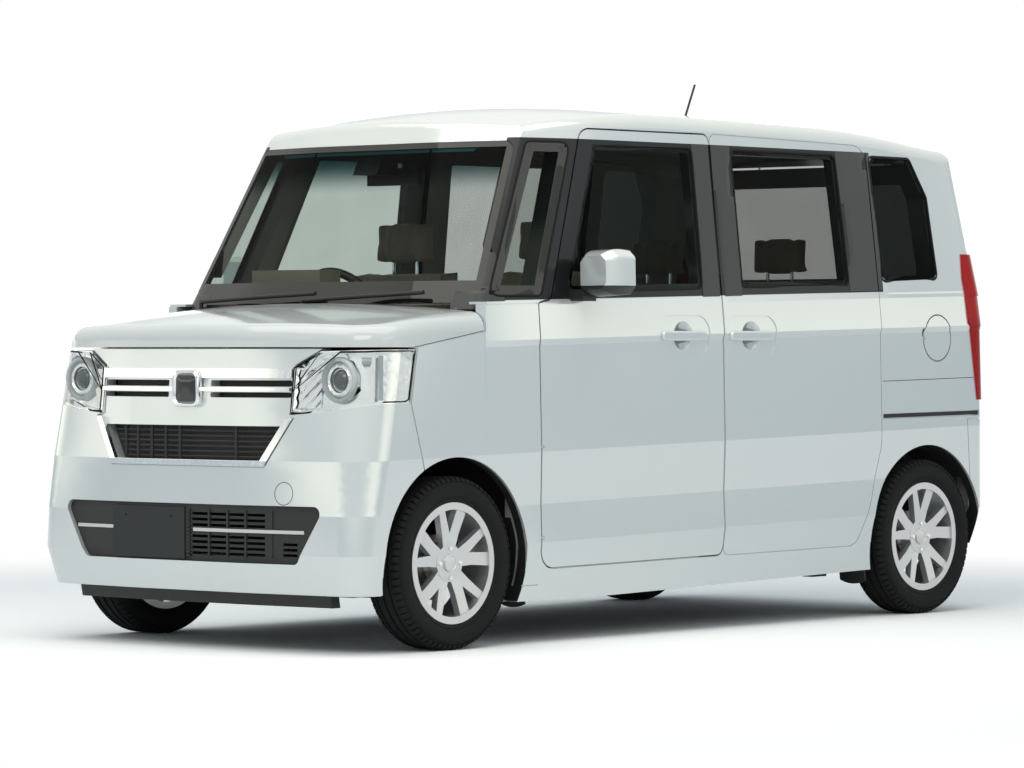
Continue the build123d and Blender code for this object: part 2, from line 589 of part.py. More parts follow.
door_room = side_prism(FRONT_DOOR, DOOR_IN, FAR, FRONT_DOOR_R)
door_room += side_prism(SLIDING_DOOR, DOOR_IN, FAR, SLIDING_DOOR_R)
rims = inner & door_room
for outline in (FRONT_DOOR, SLIDING_DOOR):
    rims -= side_prism(outline, 0, FAR, 12, -FLANGE)
frame = frame - door_room + rims
frame = frame - windscreen_bed - side_bed(FRONT_QUARTER) - side_bed(REAR_QUARTER, 40)
frame = frame - tailgate_room - rear_bumper_room - tail_lamp_room - rear_arch - front_arch - bonnet_room
frame -= block(REAR - 60, REAR_AXLE - 180, -1, FAR, 0, 240)
frame -= side_prism(RAIL, HALF - RAIL_DEEP, FAR)

# Fuel flap in the left frame: a well with a little relief ahead of the hinge, and a round lid
FUEL_X, FUEL_Z, FUEL_R, FUEL_DEEP = REAR_AXLE - 64, 991.0, 86.0, 40.0
FUEL_AXIS = (FUEL_X + FUEL_R - SHUT - 1.5, HALF - 11.0)
fuel_hinge = hinge((*FUEL_AXIS, FUEL_Z), (0, 0, 1), (1, 0, 0), SHUT + 6, 1.4)
relief = block(FUEL_AXIS[0] - 10, FUEL_AXIS[0] + 11, HALF - 16, FAR, FUEL_Z + 5, FUEL_Z + 34)
frame_left = frame - across(FUEL_X, FUEL_Z, FUEL_R, HALF - FUEL_DEEP, FAR) - relief + (fuel_hinge[2] & OUTER)
save("side_frame_left", frame_left)
save("side_frame_right", flip(frame))
flap = PANE & across(FUEL_X, FUEL_Z, FUEL_R - SHUT, HALF - 60, FAR)
save("fuel_flap", flap - fuel_hinge[0] + fuel_hinge[1])

# Tailgate and its glass
tailgate = SKIN & front_prism(TAILGATE, REAR - 100, REAR + 230, 30, -SHUT)
tailgate -= rear_window_bed + block(REAR - 100, REAR + 230, -1, FAR, TAILGATE_TOP, FAR)
tailgate = tailgate - tailgate_hinge[0] + tailgate_hinge[1]
save("tailgate", whole(tailgate))
save("tailgate_glass", whole(PANE & front_prism(REAR_WINDOW, REAR - 100, REAR + 250, 40, -GLASS_BED)))

# Tail lamps, standing a little proud of the corner
LAMP_PROUD = 5.0
tail_lamp = Pos(-LAMP_PROUD, LAMP_PROUD, 0) * SKIN
tail_lamp &= side_prism(TAIL_LAMP_SIDE, TAIL_LAMP_IN, FAR, 0, -SEAT_GAP)
save("tail_lamps", both(tail_lamp))

# Rear bumper
rear_bumper = seated(lambda grow: side_prism(REAR_BUMPER_SIDE, -1, FAR, 0, grow))
rear_bumper -= tailgate_room + rear_arch
save("rear_bumper", whole(rear_bumper))

# Floor with rear wheel houses and jacking pads
FLOOR_LOW = FLOOR_TOP - 40
BULKHEAD_X = DOOR_FRONT + 20
JACK_X = (DOOR_FRONT - 120, DOOR_REAR + 230)
JACK_HALF, JACK_Y, JACK_LOW = 40.0, (HALF - 150, HALF - 105), 150.0
floor = CABIN_SPACE & block(REAR + 90, BULKHEAD_X, -1, FAR, FLOOR_LOW, FLOOR_TOP)
house = CABIN_SPACE & across(REAR_AXLE, TYRE_RADIUS, ARCH_REAR + 28, WHEEL_Y - TYRE_WIDTH / 2 - 65, FAR)
house &= block(-FAR, FAR, 0, FAR, FLOOR_LOW, FAR)
floor = floor + house - rear_arch
for x in JACK_X:
    floor += block(x - JACK_HALF, x + JACK_HALF, *JACK_Y, JACK_LOW, FLOOR_LOW)
save("floor_pan", whole(floor))

# Front structure: bulkhead, shelf under the cowl, rails, strut towers and the panel behind the nose
lean = tan(radians(KINGPIN_LEAN))
ball_y = WHEEL_Y - BALL_JOINT_IN
top_y = ball_y - (STRUT_TOP - BALL_JOINT_Z) * lean
STRUCTURE = [
    dict(name="shelf", x=(BULKHEAD_X + 20, FRONT_AXLE - 140), y=(-1, 600), z=(1010, 1050)),
    dict(name="rail", x=(BULKHEAD_X + 20, FRONT - 140), y=(330, 390), z=(400, 480)),
    dict(name="nose_panel", x=(FRONT - 160, FRONT - 135), y=(-1, 400), z=(300, 940)),
]
TOWERS = [
    dict(name="top", x=(FRONT_AXLE - 95, FRONT_AXLE + 95), y=(380, 580), z=(655, 880)),
    dict(name="web", x=(FRONT_AXLE - 95, FRONT_AXLE + 95), y=(375, 400), z=(400, 880)),
]
STRUT_ROOM = 62.0
front_structure = CABIN_SPACE & block(BULKHEAD_X, BULKHEAD_X + 25, -1, FAR, FLOOR_LOW, 1050)
front_structure += blocks(STRUCTURE)
front_structure += PANEL_BACK & block(FRONT_AXLE - 187, FRONT_AXLE - 140, -1, 560, 1040, 1100)
strut_line = ((FRONT_AXLE, ball_y, BALL_JOINT_Z), (FRONT_AXLE, top_y, STRUT_TOP + SEAT_GAP))
front_structure += blocks(TOWERS) - rod(*strut_line, STRUT_ROOM)
save("front_structure", whole(front_structure))

# Cowl between the bonnet and the windscreen
cowl = SKIN & block(DOOR_FRONT + 45, FRONT_AXLE + 20, -1, 640, 1052, 1150)
cowl = cowl - windscreen_bed - bonnet_room - bonnet_hinge[0] + (bonnet_hinge[1] & OUTER)
save("cowl", largest(whole(cowl)))

# Engine with gearbox and mounts, and the radiator ahead of it
ENGINE = [
    dict(name="block", x=(FRONT_AXLE - 190, FRONT_AXLE + 200), y=(-300, 300), z=(240, 790)),
    dict(name="mounts", x=(FRONT_AXLE - 40, FRONT_AXLE + 40), y=(-330, 330), z=(420, 460)),
]
save("engine", blocks(ENGINE))
save("radiator", block(FRONT - 200, FRONT - 160, -320, 320, 300, 700))

# Tyre: half section from bead to tread (radius, y), mirrored, with its corner radii
RIM_HALF = RIM_WIDTH / 2
TREAD_HALF = TYRE_WIDTH / 2
BEAD_R = RIM_RADIUS - 14
FLANGE_THICK = 4.0
TYRE_HALF = [
    dict(r=BEAD_R + SEAT_GAP, y=RIM_HALF - FLANGE_THICK - SEAT_GAP, round=1),
    dict(r=RIM_RADIUS + SEAT_GAP, y=RIM_HALF - FLANGE_THICK - SEAT_GAP, round=0.5),
    dict(r=RIM_RADIUS + 8, y=TREAD_HALF - 6, round=8),
    dict(r=RIM_RADIUS + 45, y=TREAD_HALF, round=36),
    dict(r=TYRE_RADIUS - 12, y=TREAD_HALF - 8, round=10),
    dict(r=TYRE_RADIUS, y=TREAD_HALF - 22, round=6),
]
GROOVE_Y, GROOVE_HALF, GROOVE_DEEP = (-32, 0, 32), 4.0, 6.0
section = [(row["r"], -row["y"]) for row in TYRE_HALF] + [(row["r"], row["y"]) for row in reversed(TYRE_HALF)]
rounds = [row["round"] for row in TYRE_HALF]
tyre = revolve(loop_face(section, rounds + rounds[::-1]), Axis.Y)
for y in GROOVE_Y:
    groove = [(TYRE_RADIUS - GROOVE_DEEP, y - GROOVE_HALF), (TYRE_RADIUS + 9, y - GROOVE_HALF),
              (TYRE_RADIUS + 9, y + GROOVE_HALF), (TYRE_RADIUS - GROOVE_DEEP, y + GROOVE_HALF)]
    tyre -= revolve(make_face(Polyline(*groove, close=True)), Axis.Y)

# Wheel: a rim, a hub and five forked spokes, each with a wide and a narrow arm, on a dished face
FLANGE_IN = RIM_HALF - FLANGE_THICK
RIM_SECTION = [(BEAD_R, -FLANGE_IN), (RIM_RADIUS, -FLANGE_IN), (RIM_RADIUS, -RIM_HALF),
               (BEAD_R - RIM_WALL, -RIM_HALF), (BEAD_R - RIM_WALL, RIM_HALF), (RIM_RADIUS, RIM_HALF),
               (RIM_RADIUS, FLANGE_IN), (BEAD_R, FLANGE_IN)]
HUB_R, HUB_BACK, HUB_FACE, HUB_BORE = 60.0, 4.0, 47.0, 32.0
SPOKE_END = BEAD_R - RIM_WALL / 2
FORK = [polar(46, -34), polar(100, -22.5), polar(SPOKE_END, -20), polar(SPOKE_END, -11), polar(95, -1.5),
        polar(SPOKE_END, 8.5), polar(SPOKE_END, 22.5), polar(100, 23), polar(46, 34)]
DISH = [(30, 20), (SPOKE_END, 32), (SPOKE_END, 57), (30, 43)]
rim = revolve(make_face(Polyline(*RIM_SECTION, close=True)), Axis.Y)
dish = revolve(make_face(Polyline(*DISH, close=True)), Axis.Y)
fork = side_prism(FORK, 0, RIM_HALF) & dish
wheel = rim + across(0, 0, HUB_R, HUB_BACK, HUB_FACE)
for turn in range(SPOKE_PAIRS):
    wheel += Rot(0, turn * 360 / SPOKE_PAIRS - 90, 0) * fork
wheel -= across(0, 0, SPINDLE_RADIUS + RUNNING_FIT, 0, HUB_BORE)
CORNERS = [
    dict(name="front_left", x=FRONT_AXLE, y=WHEEL_Y, turn=0),
    dict(name="front_right", x=FRONT_AXLE, y=-WHEEL_Y, turn=180),
    dict(name="rear_left", x=REAR_AXLE, y=WHEEL_Y, turn=0),
    dict(name="rear_right", x=REAR_AXLE, y=-WHEEL_Y, turn=180),
]
for corner in CORNERS:
    place = Pos(corner["x"], corner["y"], TYRE_RADIUS) * Rot(0, 0, corner["turn"])
    save(f"tyre_{corner['name']}", place * tyre)
    save(f"wheel_{corner['name']}", place * wheel)

# Front knuckles with ball joint, spindle and strut, on the steering axis
SPINDLE_END = WHEEL_Y + 30
BALL_R = 11.0
knuckle = across(FRONT_AXLE, TYRE_RADIUS, SPINDLE_RADIUS, ball_y - 30, SPINDLE_END)
knuckle += block(FRONT_AXLE - 40, FRONT_AXLE + 40, ball_y - 45, ball_y + 8,
                 BALL_JOINT_Z + 7, TYRE_RADIUS + 70)
knuckle += Pos(FRONT_AXLE, ball_y, BALL_JOINT_Z) * Sphere(BALL_R)
strut_z = TYRE_RADIUS + 40
strut_y = ball_y - (strut_z - BALL_JOINT_Z) * lean
knuckle += rod((FRONT_AXLE, strut_y, strut_z), (FRONT_AXLE, top_y, STRUT_TOP), STRUT_RADIUS)
save("knuckle_left", knuckle)
save("knuckle_right", flip(knuckle))

# Front subframe with lower arms that end under the ball joints
SUBFRAME = [
    dict(name="cross_member", x=(FRONT_AXLE - 90, FRONT_AXLE + 60), y=(-1, 330), z=(155, 235)),
    dict(name="arm", x=(FRONT_AXLE - 60, FRONT_AXLE + 20), y=(300, ball_y + 25),
         z=(155, BALL_JOINT_Z - BALL_R - SEAT_GAP)),
    dict(name="hanger", x=(FRONT_AXLE - 90, FRONT_AXLE - 30), y=(330, 372), z=(155, 400)),
]
save("front_subframe", whole(blocks(SUBFRAME)))

# Rear axle: beam, trailing arms and spindles
ARM_Y = WHEEL_Y - TYRE_WIDTH / 2 - 60
BEAM_X, BEAM_Z, BEAM_R = REAR_AXLE + 150, 262.0, 34.0
AXLE_ARMS = [
    dict(name="arm", x=(REAR_AXLE - 45, REAR_AXLE + 330), y=(ARM_Y - 30, ARM_Y + 20), z=(240, FLOOR_LOW - 2)),
    dict(name="bush", x=(REAR_AXLE + 290, REAR_AXLE + 330), y=(ARM_Y - 30, ARM_Y + 20), z=(240, FLOOR_LOW)),
]
axle = across(BEAM_X, BEAM_Z, BEAM_R, -1, ARM_Y) + blocks(AXLE_ARMS)
axle += across(REAR_AXLE, TYRE_RADIUS, SPINDLE_RADIUS, ARM_Y, SPINDLE_END)
save("rear_axle", whole(axle))

# Exhaust and fuel tank under the floor
PIPE_Y, PIPE_Z, PIPE_R = 150.0, 200.0, 20.0
exhaust = rod((FRONT_AXLE - 200, PIPE_Y, PIPE_Z), (REAR + 120, PIPE_Y, PIPE_Z), PIPE_R)
exhaust += block(REAR + 110, REAR + 250, -260, 260, 185, FLOOR_LOW)
save("exhaust", exhaust)
save("fuel_tank", block(DOOR_SEAM - 100, DOOR_SEAM + 620, -480, 90, 168, FLOOR_LOW))

# Seats: side outlines (x, z) of cushion with back, headrest and the plinth below
SEAT_ROUND, HEADREST_ROUND = 25.0, 20.0
SEAT = [(330, 470), (790, 470), (800, 640), (770, 690), (430, 670), (350, 1240), (235, 1250), (240, 900),
        (270, 560)]
SEAT_Y, SEAT_PLINTH = (100, 560), dict(x=(330, 720), y=(140, 520), z=(FLOOR_TOP, 480))
HEADREST = [(240, 1225), (345, 1225), (335, 1400), (250, 1400)]
HEADREST_Y = (210, 450)
BENCH = [(-1010, 440), (-480, 440), (-470, 610), (-500, 650), (-900, 640), (-985, 1220), (-1085, 1220),
         (-1060, 700)]
BENCH_Y, BENCH_PLINTH = (-1, 500), dict(x=(-960, -520), y=(-1, 480), z=(FLOOR_TOP, 460))
BENCH_HEADREST = [(-1080, 1200), (-990, 1200), (-1000, 1360), (-1070, 1360)]
BENCH_HEADREST_Y = (170, 400)
seat = side_prism(SEAT, *SEAT_Y, SEAT_ROUND) + blocks([SEAT_PLINTH])
seat += side_prism(HEADREST, *HEADREST_Y, HEADREST_ROUND)
save("front_seats", both(seat))
bench = side_prism(BENCH, *BENCH_Y, SEAT_ROUND) + blocks([BENCH_PLINTH])
bench += side_prism(BENCH_HEADREST, *BENCH_HEADREST_Y, HEADREST_ROUND)
save("rear_seat", whole(bench))

# Dashboard with the raised instrument hood, and the steering wheel on the right
DASH = [(BULKHEAD_X, 640), (BULKHEAD_X, 1052), (1005, 1052), (1000, 1100), (900, 1150), (760, 1165),
        (715, 1130), (735, 960), (770, 720)]
HOOD = dict(x=(790, 890), y=(-490, -170), z=(1120, 1225))
WHEEL_PLACE = (600.0, -330.0, 1060.0)
WHEEL_R, WHEEL_GRIP, WHEEL_TILT = 178.0, 15.0, 25.0
COLUMN_R = 22.0
column = Plane(WHEEL_PLACE, z_dir=(cos(radians(WHEEL_TILT)), 0, -sin(radians(WHEEL_TILT))))
steering = Torus(WHEEL_R, WHEEL_GRIP) + Cylinder(62, 40) + Box(2 * WHEEL_R, 40, 16)
steering += Pos(0, 0, 60) * Cylinder(COLUMN_R, 140)
save("steering_wheel", column * steering)
dash = whole(CABIN_SPACE & side_prism(DASH, -1, FAR)) + blocks([HOOD])
dash += column * Pos(0, 0, 120) * Cylinder(COLUMN_R + 12, 110)
dash -= column * Pos(0, 0, 100) * Cylinder(COLUMN_R + SEAT_GAP, 64)
dash -= column * Pos(0, 0, 40) * Cylinder(70, 60)
save("dashboard", dash)

# Door mirrors: a rounded head on a foot at the window's front corner, as sections (x, share of full size)
MIRROR = [(750, 1142), (748, 1252), (776, 1281), (872, 1284), (900, 1258), (902, 1160), (880, 1133),
          (790, 1128)]
MIRROR_MIDDLE, MIRROR_ROUND = (825, 1207), 15.0
MIRROR_STATIONS = [dict(x=512, share=0.96), dict(x=556, share=1.0), dict(x=610, share=0.93),
                   dict(x=640, share=0.72)]
MIRROR_FOOT = dict(x=(566, 634), y=(690, 775), z=(1114, 1152))
sections = []
for station in MIRROR_STATIONS:
    middle_y, middle_z = MIRROR_MIDDLE
    share = station["share"]
    outline = [(middle_y + (y - middle_y) * share, middle_z + (z - middle_z) * share) for y, z in MIRROR]
    sections.append(Plane.YZ.offset(station["x"]) * loop_face(outline, MIRROR_ROUND * share))
mirror_head = largest(loft(sections) + blocks([MIRROR_FOOT]) - SKIN)
save("door_mirror_left", mirror_head)
save("door_mirror_right", flip(mirror_head))

# Inside mirror, hung from the sensor housing on the windscreen
SENSOR = dict(x=(745, 900), y=(-1, 55), z=(1540, 1598))
MIRROR_GLASS = dict(x=(690, 715), y=(-115, 115), z=(1508, 1566))
inside = whole(UNDER_GLASS & blocks([SENSOR])) + blocks([MIRROR_GLASS])
save("inside_mirror", inside + rod((700, 0, 1540), (770, 0, 1575), 12))

# Wipers, each on a foot in the cowl
WIPER_R, WIPER_OFF = 7.0, 22.0
WIPERS = [dict(pivot=-560, tip=10), dict(pivot=-40, tip=470)]
WIPER_RISE = (1118, 1130, 1142)
SCREEN_FOOT, SCREEN_LEAN, SCREEN_SWEEP = FRONT_AXLE - 108, 0.531, 0.2


def screen_point(y, z):
    """A point a little off the windscreen."""
    sweep = max(abs(y) - 330, 0) * SCREEN_SWEEP
    return (SCREEN_FOOT - sweep - (z - 1112) * SCREEN_LEAN + WIPER_OFF, y, z)


wipers = []
for row in WIPERS:
    reach = (row["pivot"], (row["pivot"] + row["tip"]) / 2, row["tip"])
    start, bend, end = [screen_point(y, z) for y, z in zip(reach, WIPER_RISE)]
    arm = rod(start, bend, WIPER_R) + rod(bend, end, WIPER_R) + Pos(*bend) * Sphere(WIPER_R)
    arm += rod((start[0], start[1], 1060), start, WIPER_R)
    wipers.append(largest(clear_of_body(arm)))
save("wipers", Compound(children=wipers))

# Antenna on the roof
ANTENNA_X, ANTENNA_TOP, ANTENNA_LEAN = REAR_AXLE + 480, 1912.0, 57.0
ANTENNA_FOOT_R, ANTENNA_R = 16.0, 4.0
antenna = rod((ANTENNA_X, 0, HEIGHT - 60), (ANTENNA_X, 0, HEIGHT + 6), ANTENNA_FOOT_R)
antenna += rod((ANTENNA_X, 0, HEIGHT), (ANTENNA_X - ANTENNA_LEAN, 0, ANTENNA_TOP), ANTENNA_R)
save("antenna", largest(clear_of_body(antenna)))
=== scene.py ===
"""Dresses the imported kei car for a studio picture: paint, glass, lamps, trim, tread, seats and stage."""
import json
import math

import bmesh
import bpy
from bpy.props import FloatProperty, FloatVectorProperty, IntProperty, PointerProperty
from mathutils import Matrix, Vector
from mathutils.bvhtree import BVHTree


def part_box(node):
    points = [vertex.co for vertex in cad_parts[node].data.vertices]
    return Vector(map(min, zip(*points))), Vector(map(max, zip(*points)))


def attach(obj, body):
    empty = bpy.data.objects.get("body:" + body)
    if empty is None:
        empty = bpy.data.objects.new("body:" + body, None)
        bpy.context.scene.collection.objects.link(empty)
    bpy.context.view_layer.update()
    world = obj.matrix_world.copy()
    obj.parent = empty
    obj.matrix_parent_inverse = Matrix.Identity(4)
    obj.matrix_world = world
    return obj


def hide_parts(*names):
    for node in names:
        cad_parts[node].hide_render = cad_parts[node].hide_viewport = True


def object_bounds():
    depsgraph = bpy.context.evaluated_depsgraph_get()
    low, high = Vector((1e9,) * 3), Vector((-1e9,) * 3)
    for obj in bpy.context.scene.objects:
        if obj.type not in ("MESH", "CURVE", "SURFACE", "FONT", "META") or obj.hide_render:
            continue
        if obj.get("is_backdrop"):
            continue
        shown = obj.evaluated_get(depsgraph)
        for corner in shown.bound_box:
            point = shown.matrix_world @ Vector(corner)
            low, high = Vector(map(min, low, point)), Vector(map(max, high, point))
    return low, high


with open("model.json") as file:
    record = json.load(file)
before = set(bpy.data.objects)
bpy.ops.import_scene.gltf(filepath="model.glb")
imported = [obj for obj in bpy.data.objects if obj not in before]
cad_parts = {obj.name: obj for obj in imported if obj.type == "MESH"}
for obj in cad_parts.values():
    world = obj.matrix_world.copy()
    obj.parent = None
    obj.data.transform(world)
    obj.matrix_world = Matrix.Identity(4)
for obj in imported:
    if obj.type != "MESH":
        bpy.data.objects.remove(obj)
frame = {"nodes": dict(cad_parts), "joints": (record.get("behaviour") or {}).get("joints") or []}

bl_info = {
    "name": "Kei Car Dressing",
    "version": (1, 0, 0),
    "blender": (4, 5, 0),
    "location": "View3D > Sidebar > Kei Car",
    "description": "Adds paint, glass, lamps, trim, tyre tread, seats and a studio to the packed kei car",
    "category": "Object",
}

NODES = frame["nodes"]
CAD_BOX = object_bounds()
SIDES = {"left": 1.0, "right": -1.0}
CORNERS = ("front_left", "front_right", "rear_left", "rear_right")
AXLES = {j["child"]: Vector(j["pos_m"]) for j in frame["joints"]}
FRONT_AXLE = AXLES["road_wheel_front_left"].x
DOOR_SEAM = FRONT_AXLE - 1.352
DOOR_REAR = FRONT_AXLE - 2.243
REAR_AXLE = FRONT_AXLE - 2.520
HALF = 0.7375
# The belt line's height at x = 0, its fall towards the front, and the lower edge of the roof rail
BELT = 1.134
BELT_SLOPE = math.tan(math.radians(1.15))
RAIL = 1.652
# Unpainted plastic: a mirror below and inboard of these, and the wheel arches within these radii
MIRROR_FOOT, MIRROR_ARM = 1.164, 0.766
ARCHES = ((FRONT_AXLE, 0.340), (REAR_AXLE, 0.332))
# Windscreen: the heights between which its width is given, its half widths there, and its clear part
SCREEN_HEIGHTS = (1.124, 1.642)
SCREEN_HALVES = (0.6536, 0.5746)
CLEAR_HALVES = (0.630, 0.551)
CLEAR_LOW, CLEAR_HIGH = 1.180, 1.622
SHADE_BAND = (1.47, 1.60)
GLASS = 0.005


# Settings that a user would change

def colour_setting(name, description, default):
    return FloatVectorProperty(name=name, description=description, default=default, subtype="COLOR",
                               size=3, min=0.0, max=1.0)


def length_setting(name, description, default):
    return FloatProperty(name=name, description=description, default=default, min=0.0, unit="LENGTH")


class PaintSettings(bpy.types.PropertyGroup):
    """Colours of the body, trim and cabin."""
    body: colour_setting("Body", "Pearl body paint", (0.71, 0.755, 0.775))
    pillar: colour_setting("Pillars", "Satin panels between the windows", (0.030, 0.032, 0.035))
    plastic: colour_setting("Plastic", "Grained black plastic", (0.013, 0.0135, 0.014))
    rubber: colour_setting("Rubber", "Tyres and window seals", (0.008, 0.008, 0.0085))
    alloy: colour_setting("Wheels", "Silver wheel paint", (0.62, 0.63, 0.64))
    cabin: colour_setting("Cabin", "Taupe cabin mouldings", (0.25, 0.21, 0.165))
    seat: colour_setting("Seats", "Beige seat cloth", (0.36, 0.30, 0.235))
    liner: colour_setting("Lining", "Roof lining and pillar trim", (0.42, 0.40, 0.36))
    lamp: colour_setting("Tail lamps", "Red lamp lens", (0.55, 0.012, 0.014))


class TrimSettings(bpy.types.PropertyGroup):
    """Sizes of the added trim and tread."""
    seal: length_setting("Seal radius", "Half width of the window seals", 0.006)
    panel_lift: length_setting("Panel lift", "How far a pillar panel stands off the door", 0.0012)
    tread_depth: length_setting("Tread depth", "Height of the shoulder blocks", 0.004)
    shoulder_blocks: IntProperty(name="Shoulder blocks", description="Blocks round each shoulder",
                                 default=72, min=12, max=120)
    wheel_nuts: IntProperty(name="Wheel nuts", description="Nuts on each wheel", default=4, min=3, max=6)


class StageSettings(bpy.types.PropertyGroup):
    """Camera, floor and lights."""
    eye: FloatVectorProperty(name="Camera place", description="Where the camera stands", size=3,
                             default=(11.766, 10.315, 0.989), subtype="TRANSLATION", unit="LENGTH")
    yaw: FloatProperty(name="Yaw", description="Heading of the view", default=math.radians(221.5014),
                       subtype="ANGLE")
    pitch: FloatProperty(name="Pitch", description="Tilt of the view", default=math.radians(-0.5693),
                         subtype="ANGLE")
    roll: FloatProperty(name="Roll", description="Lean of the view", default=math.radians(-0.1074),
                        subtype="ANGLE")
    lens: FloatProperty(name="Lens", description="Focal length in millimetres on a 36 mm sensor",
                        default=157.8, min=10.0)
    floor: colour_setting("Floor", "Pale studio floor", (0.86, 0.86, 0.85))
    floor_gain: FloatProperty(name="Floor gain", description="How pale the floor looks to the camera",
                              default=1.32, min=0.0)
    sky: FloatProperty(name="Sky light", description="Strength of the even light", default=0.46, min=0.0)
    key: FloatProperty(name="Key light", description="Power of the overhead soft box in watts",
                       default=88.0, min=0.0)
    fill: FloatProperty(name="Fill light", description="Power of the side soft box in watts",
                        default=24.0, min=0.0)


# Material nodes

SOCKETS = {
    "colour": "Base Color", "metal": "Metallic", "rough": "Roughness", "coat": "Coat Weight",
    "coat_rough": "Coat Roughness", "sheen": "Sheen Weight", "sheen_rough": "Sheen Roughness",
    "shine": "Specular IOR Level",
}


def rgba(colour, times=1.0):
    return (*[min(1.0, channel * times) for channel in colour], 1.0)


class NodeMaker:
    """Adds nodes to a tree."""

    def __init__(self, tree):
        self.tree = tree

    def add(self, kind, inputs=None, **settings):
        """A node of that kind, with its settings and its inputs set or linked."""
        node = self.tree.nodes.new(kind)
        for key, value in settings.items():
            setattr(node, key, value)
        for key, value in (inputs or {}).items():
            if isinstance(value, bpy.types.NodeSocket):
                self.tree.links.new(value, node.inputs[key])
            else:
                node.inputs[key].default_value = value
        return node


class Look(NodeMaker):
    """One node material, grown from a Principled surface."""

    def __init__(self, name, **sockets):
        self.material = bpy.data.materials.new(name)
        self.material.use_nodes = True
        super().__init__(self.material.node_tree)
        self.surface = self.tree.nodes["Principled BSDF"]
        self.output = self.tree.nodes["Material Output"]
        self.coordinates = self.add("ShaderNodeTexCoord")
        self.place = self.coordinates.outputs["Object"]
        for word, value in sockets.items():
            self.surface.inputs[SOCKETS[word]].default_value = value

    def join(self, socket, word):
        self.tree.links.new(socket, self.surface.inputs[SOCKETS.get(word, word)])

    def noise(self, scale, detail=2.0, stretch=(1.0, 1.0, 1.0)):
        where = self.add("ShaderNodeMapping", {"Vector": self.place, "Scale": stretch}).outputs[0]
        return self.add("ShaderNodeTexNoise", {"Vector": where, "Scale": scale, "Detail": detail}).outputs[0]

    def wave(self, scale, direction):
        return self.add("ShaderNodeTexWave", {"Vector": self.place, "Scale": scale},
                        bands_direction=direction).outputs["Fac"]

    def math(self, operation, a, b=0.0):
        return self.add("ShaderNodeMath", {0: a, 1: b}, operation=operation).outputs[0]

    def rest(self, share):
        """What is left of 1."""
        return self.math("SUBTRACT", 1.0, share)

    def ramp(self, value, low, high, to_low=0.0, to_high=1.0, smooth=True):
        """value from low to high, mapped to to_low to to_high and held outside."""
        kind = "SMOOTHSTEP" if smooth else "LINEAR"
        inputs = {"Value": value, "From Min": low, "From Max": high, "To Min": to_low, "To Max": to_high}
        return self.add("ShaderNodeMapRange", inputs, interpolation_type=kind).outputs[0]

    def mix(self, share, low, high):
        return self.add("ShaderNodeMix", {0: share, 6: low, 7: high}, data_type="RGBA").outputs[2]

    def axis(self, letter, of=None):
        split = self.add("ShaderNodeSeparateXYZ", {"Vector": of or self.place})
        return split.outputs[letter]

    def tones(self, share, low, high):
        self.join(self.mix(share, low, high), "colour")

    def roughness(self, share, low, high):
        self.join(self.ramp(share, 0.3, 0.7, low, high), "rough")

    def bump(self, height, strength, distance=0.001):
        made = self.add("ShaderNodeBump", {"Height": height, "Strength": strength, "Distance": distance})
        self.join(made.outputs[0], "Normal")

    def blend(self, share, low, high):
        """A shader between two others."""
        return self.add("ShaderNodeMixShader", {0: share, 1: low, 2: high}).outputs[0]

    def show(self, shader):
        self.tree.links.new(shader, self.output.inputs["Surface"])

    def inward(self, letter):
        """1 where the surface faces the cabin along that axis: in from a side, down, or forward."""
        facing = self.axis(letter, self.coordinates.outputs["Normal"])
        if letter == "Y":
            side = self.math("SIGN", self.axis("Y"))
            facing = self.math("MULTIPLY", self.math("MULTIPLY", facing, side), -1.0)
        if letter == "Z":
            facing = self.math("MULTIPLY", facing, -1.0)
        return self.ramp(facing, 0.25, 0.35)


def paint_settings():
    return bpy.context.scene.kei_paint


def shaded(name, times):
    """A colour of the settings, lighter or darker."""
    return [times * channel for channel in getattr(paint_settings(), name)]


def pearl_paint(name, cabin_axis=None, mirror=False, metal=0.42):
    """Pearl paint with fine flake under clear coat, and cloth lining where a panel faces the cabin."""
    paint = paint_settings()
    body, clear_coat = paint.body, 0.5
    look = Look(name, coat=clear_coat, coat_rough=0.03, shine=0.3)
    flake = look.noise(1600.0, 1.0)
    drift = look.noise(1.3, 1.0)
    tone = look.mix(look.ramp(flake, 0.35, 0.65), rgba(body, 0.965), rgba(body, 1.03))
    tone = look.mix(drift, tone, rgba((body[0] * 1.01, body[1], body[2] * 0.975)))
    rough = look.ramp(flake, 0.3, 0.7, 0.10, 0.15)
    if cabin_axis:
        inside = look.inward(cabin_axis)
        cloth = look.mix(look.noise(420.0, 3.0), rgba(paint.liner, 0.86), rgba(paint.liner, 1.08))
        tone = look.mix(inside, tone, cloth)
        rough = look.math("MAXIMUM", rough, look.math("MULTIPLY", inside, 0.9))
        coat = look.math("MULTIPLY", look.rest(inside), clear_coat)
        if cabin_axis == "Y":
            frames = look.math("MULTIPLY", window_surround(look), look.rest(inside))
            satin = look.mix(look.noise(5.0), rgba(paint.pillar, 0.9), rgba(paint.pillar, 1.1))
            tone = look.mix(frames, tone, satin)
            coat = look.math("MULTIPLY", coat, look.rest(frames))
        look.join(coat, "coat")
    dark = black_areas(look, mirror)
    plastic = look.mix(flake, rgba(paint.plastic, 0.9), rgba(paint.plastic, 1.1))
    look.join(look.mix(dark, tone, plastic), "colour")
    look.join(look.math("MAXIMUM", rough, look.math("MULTIPLY", dark, 0.6)), "rough")
    look.join(look.math("MULTIPLY", look.rest(dark), metal), "metal")
    look.bump(look.noise(240.0, 1.0), 0.012)
    return look.material


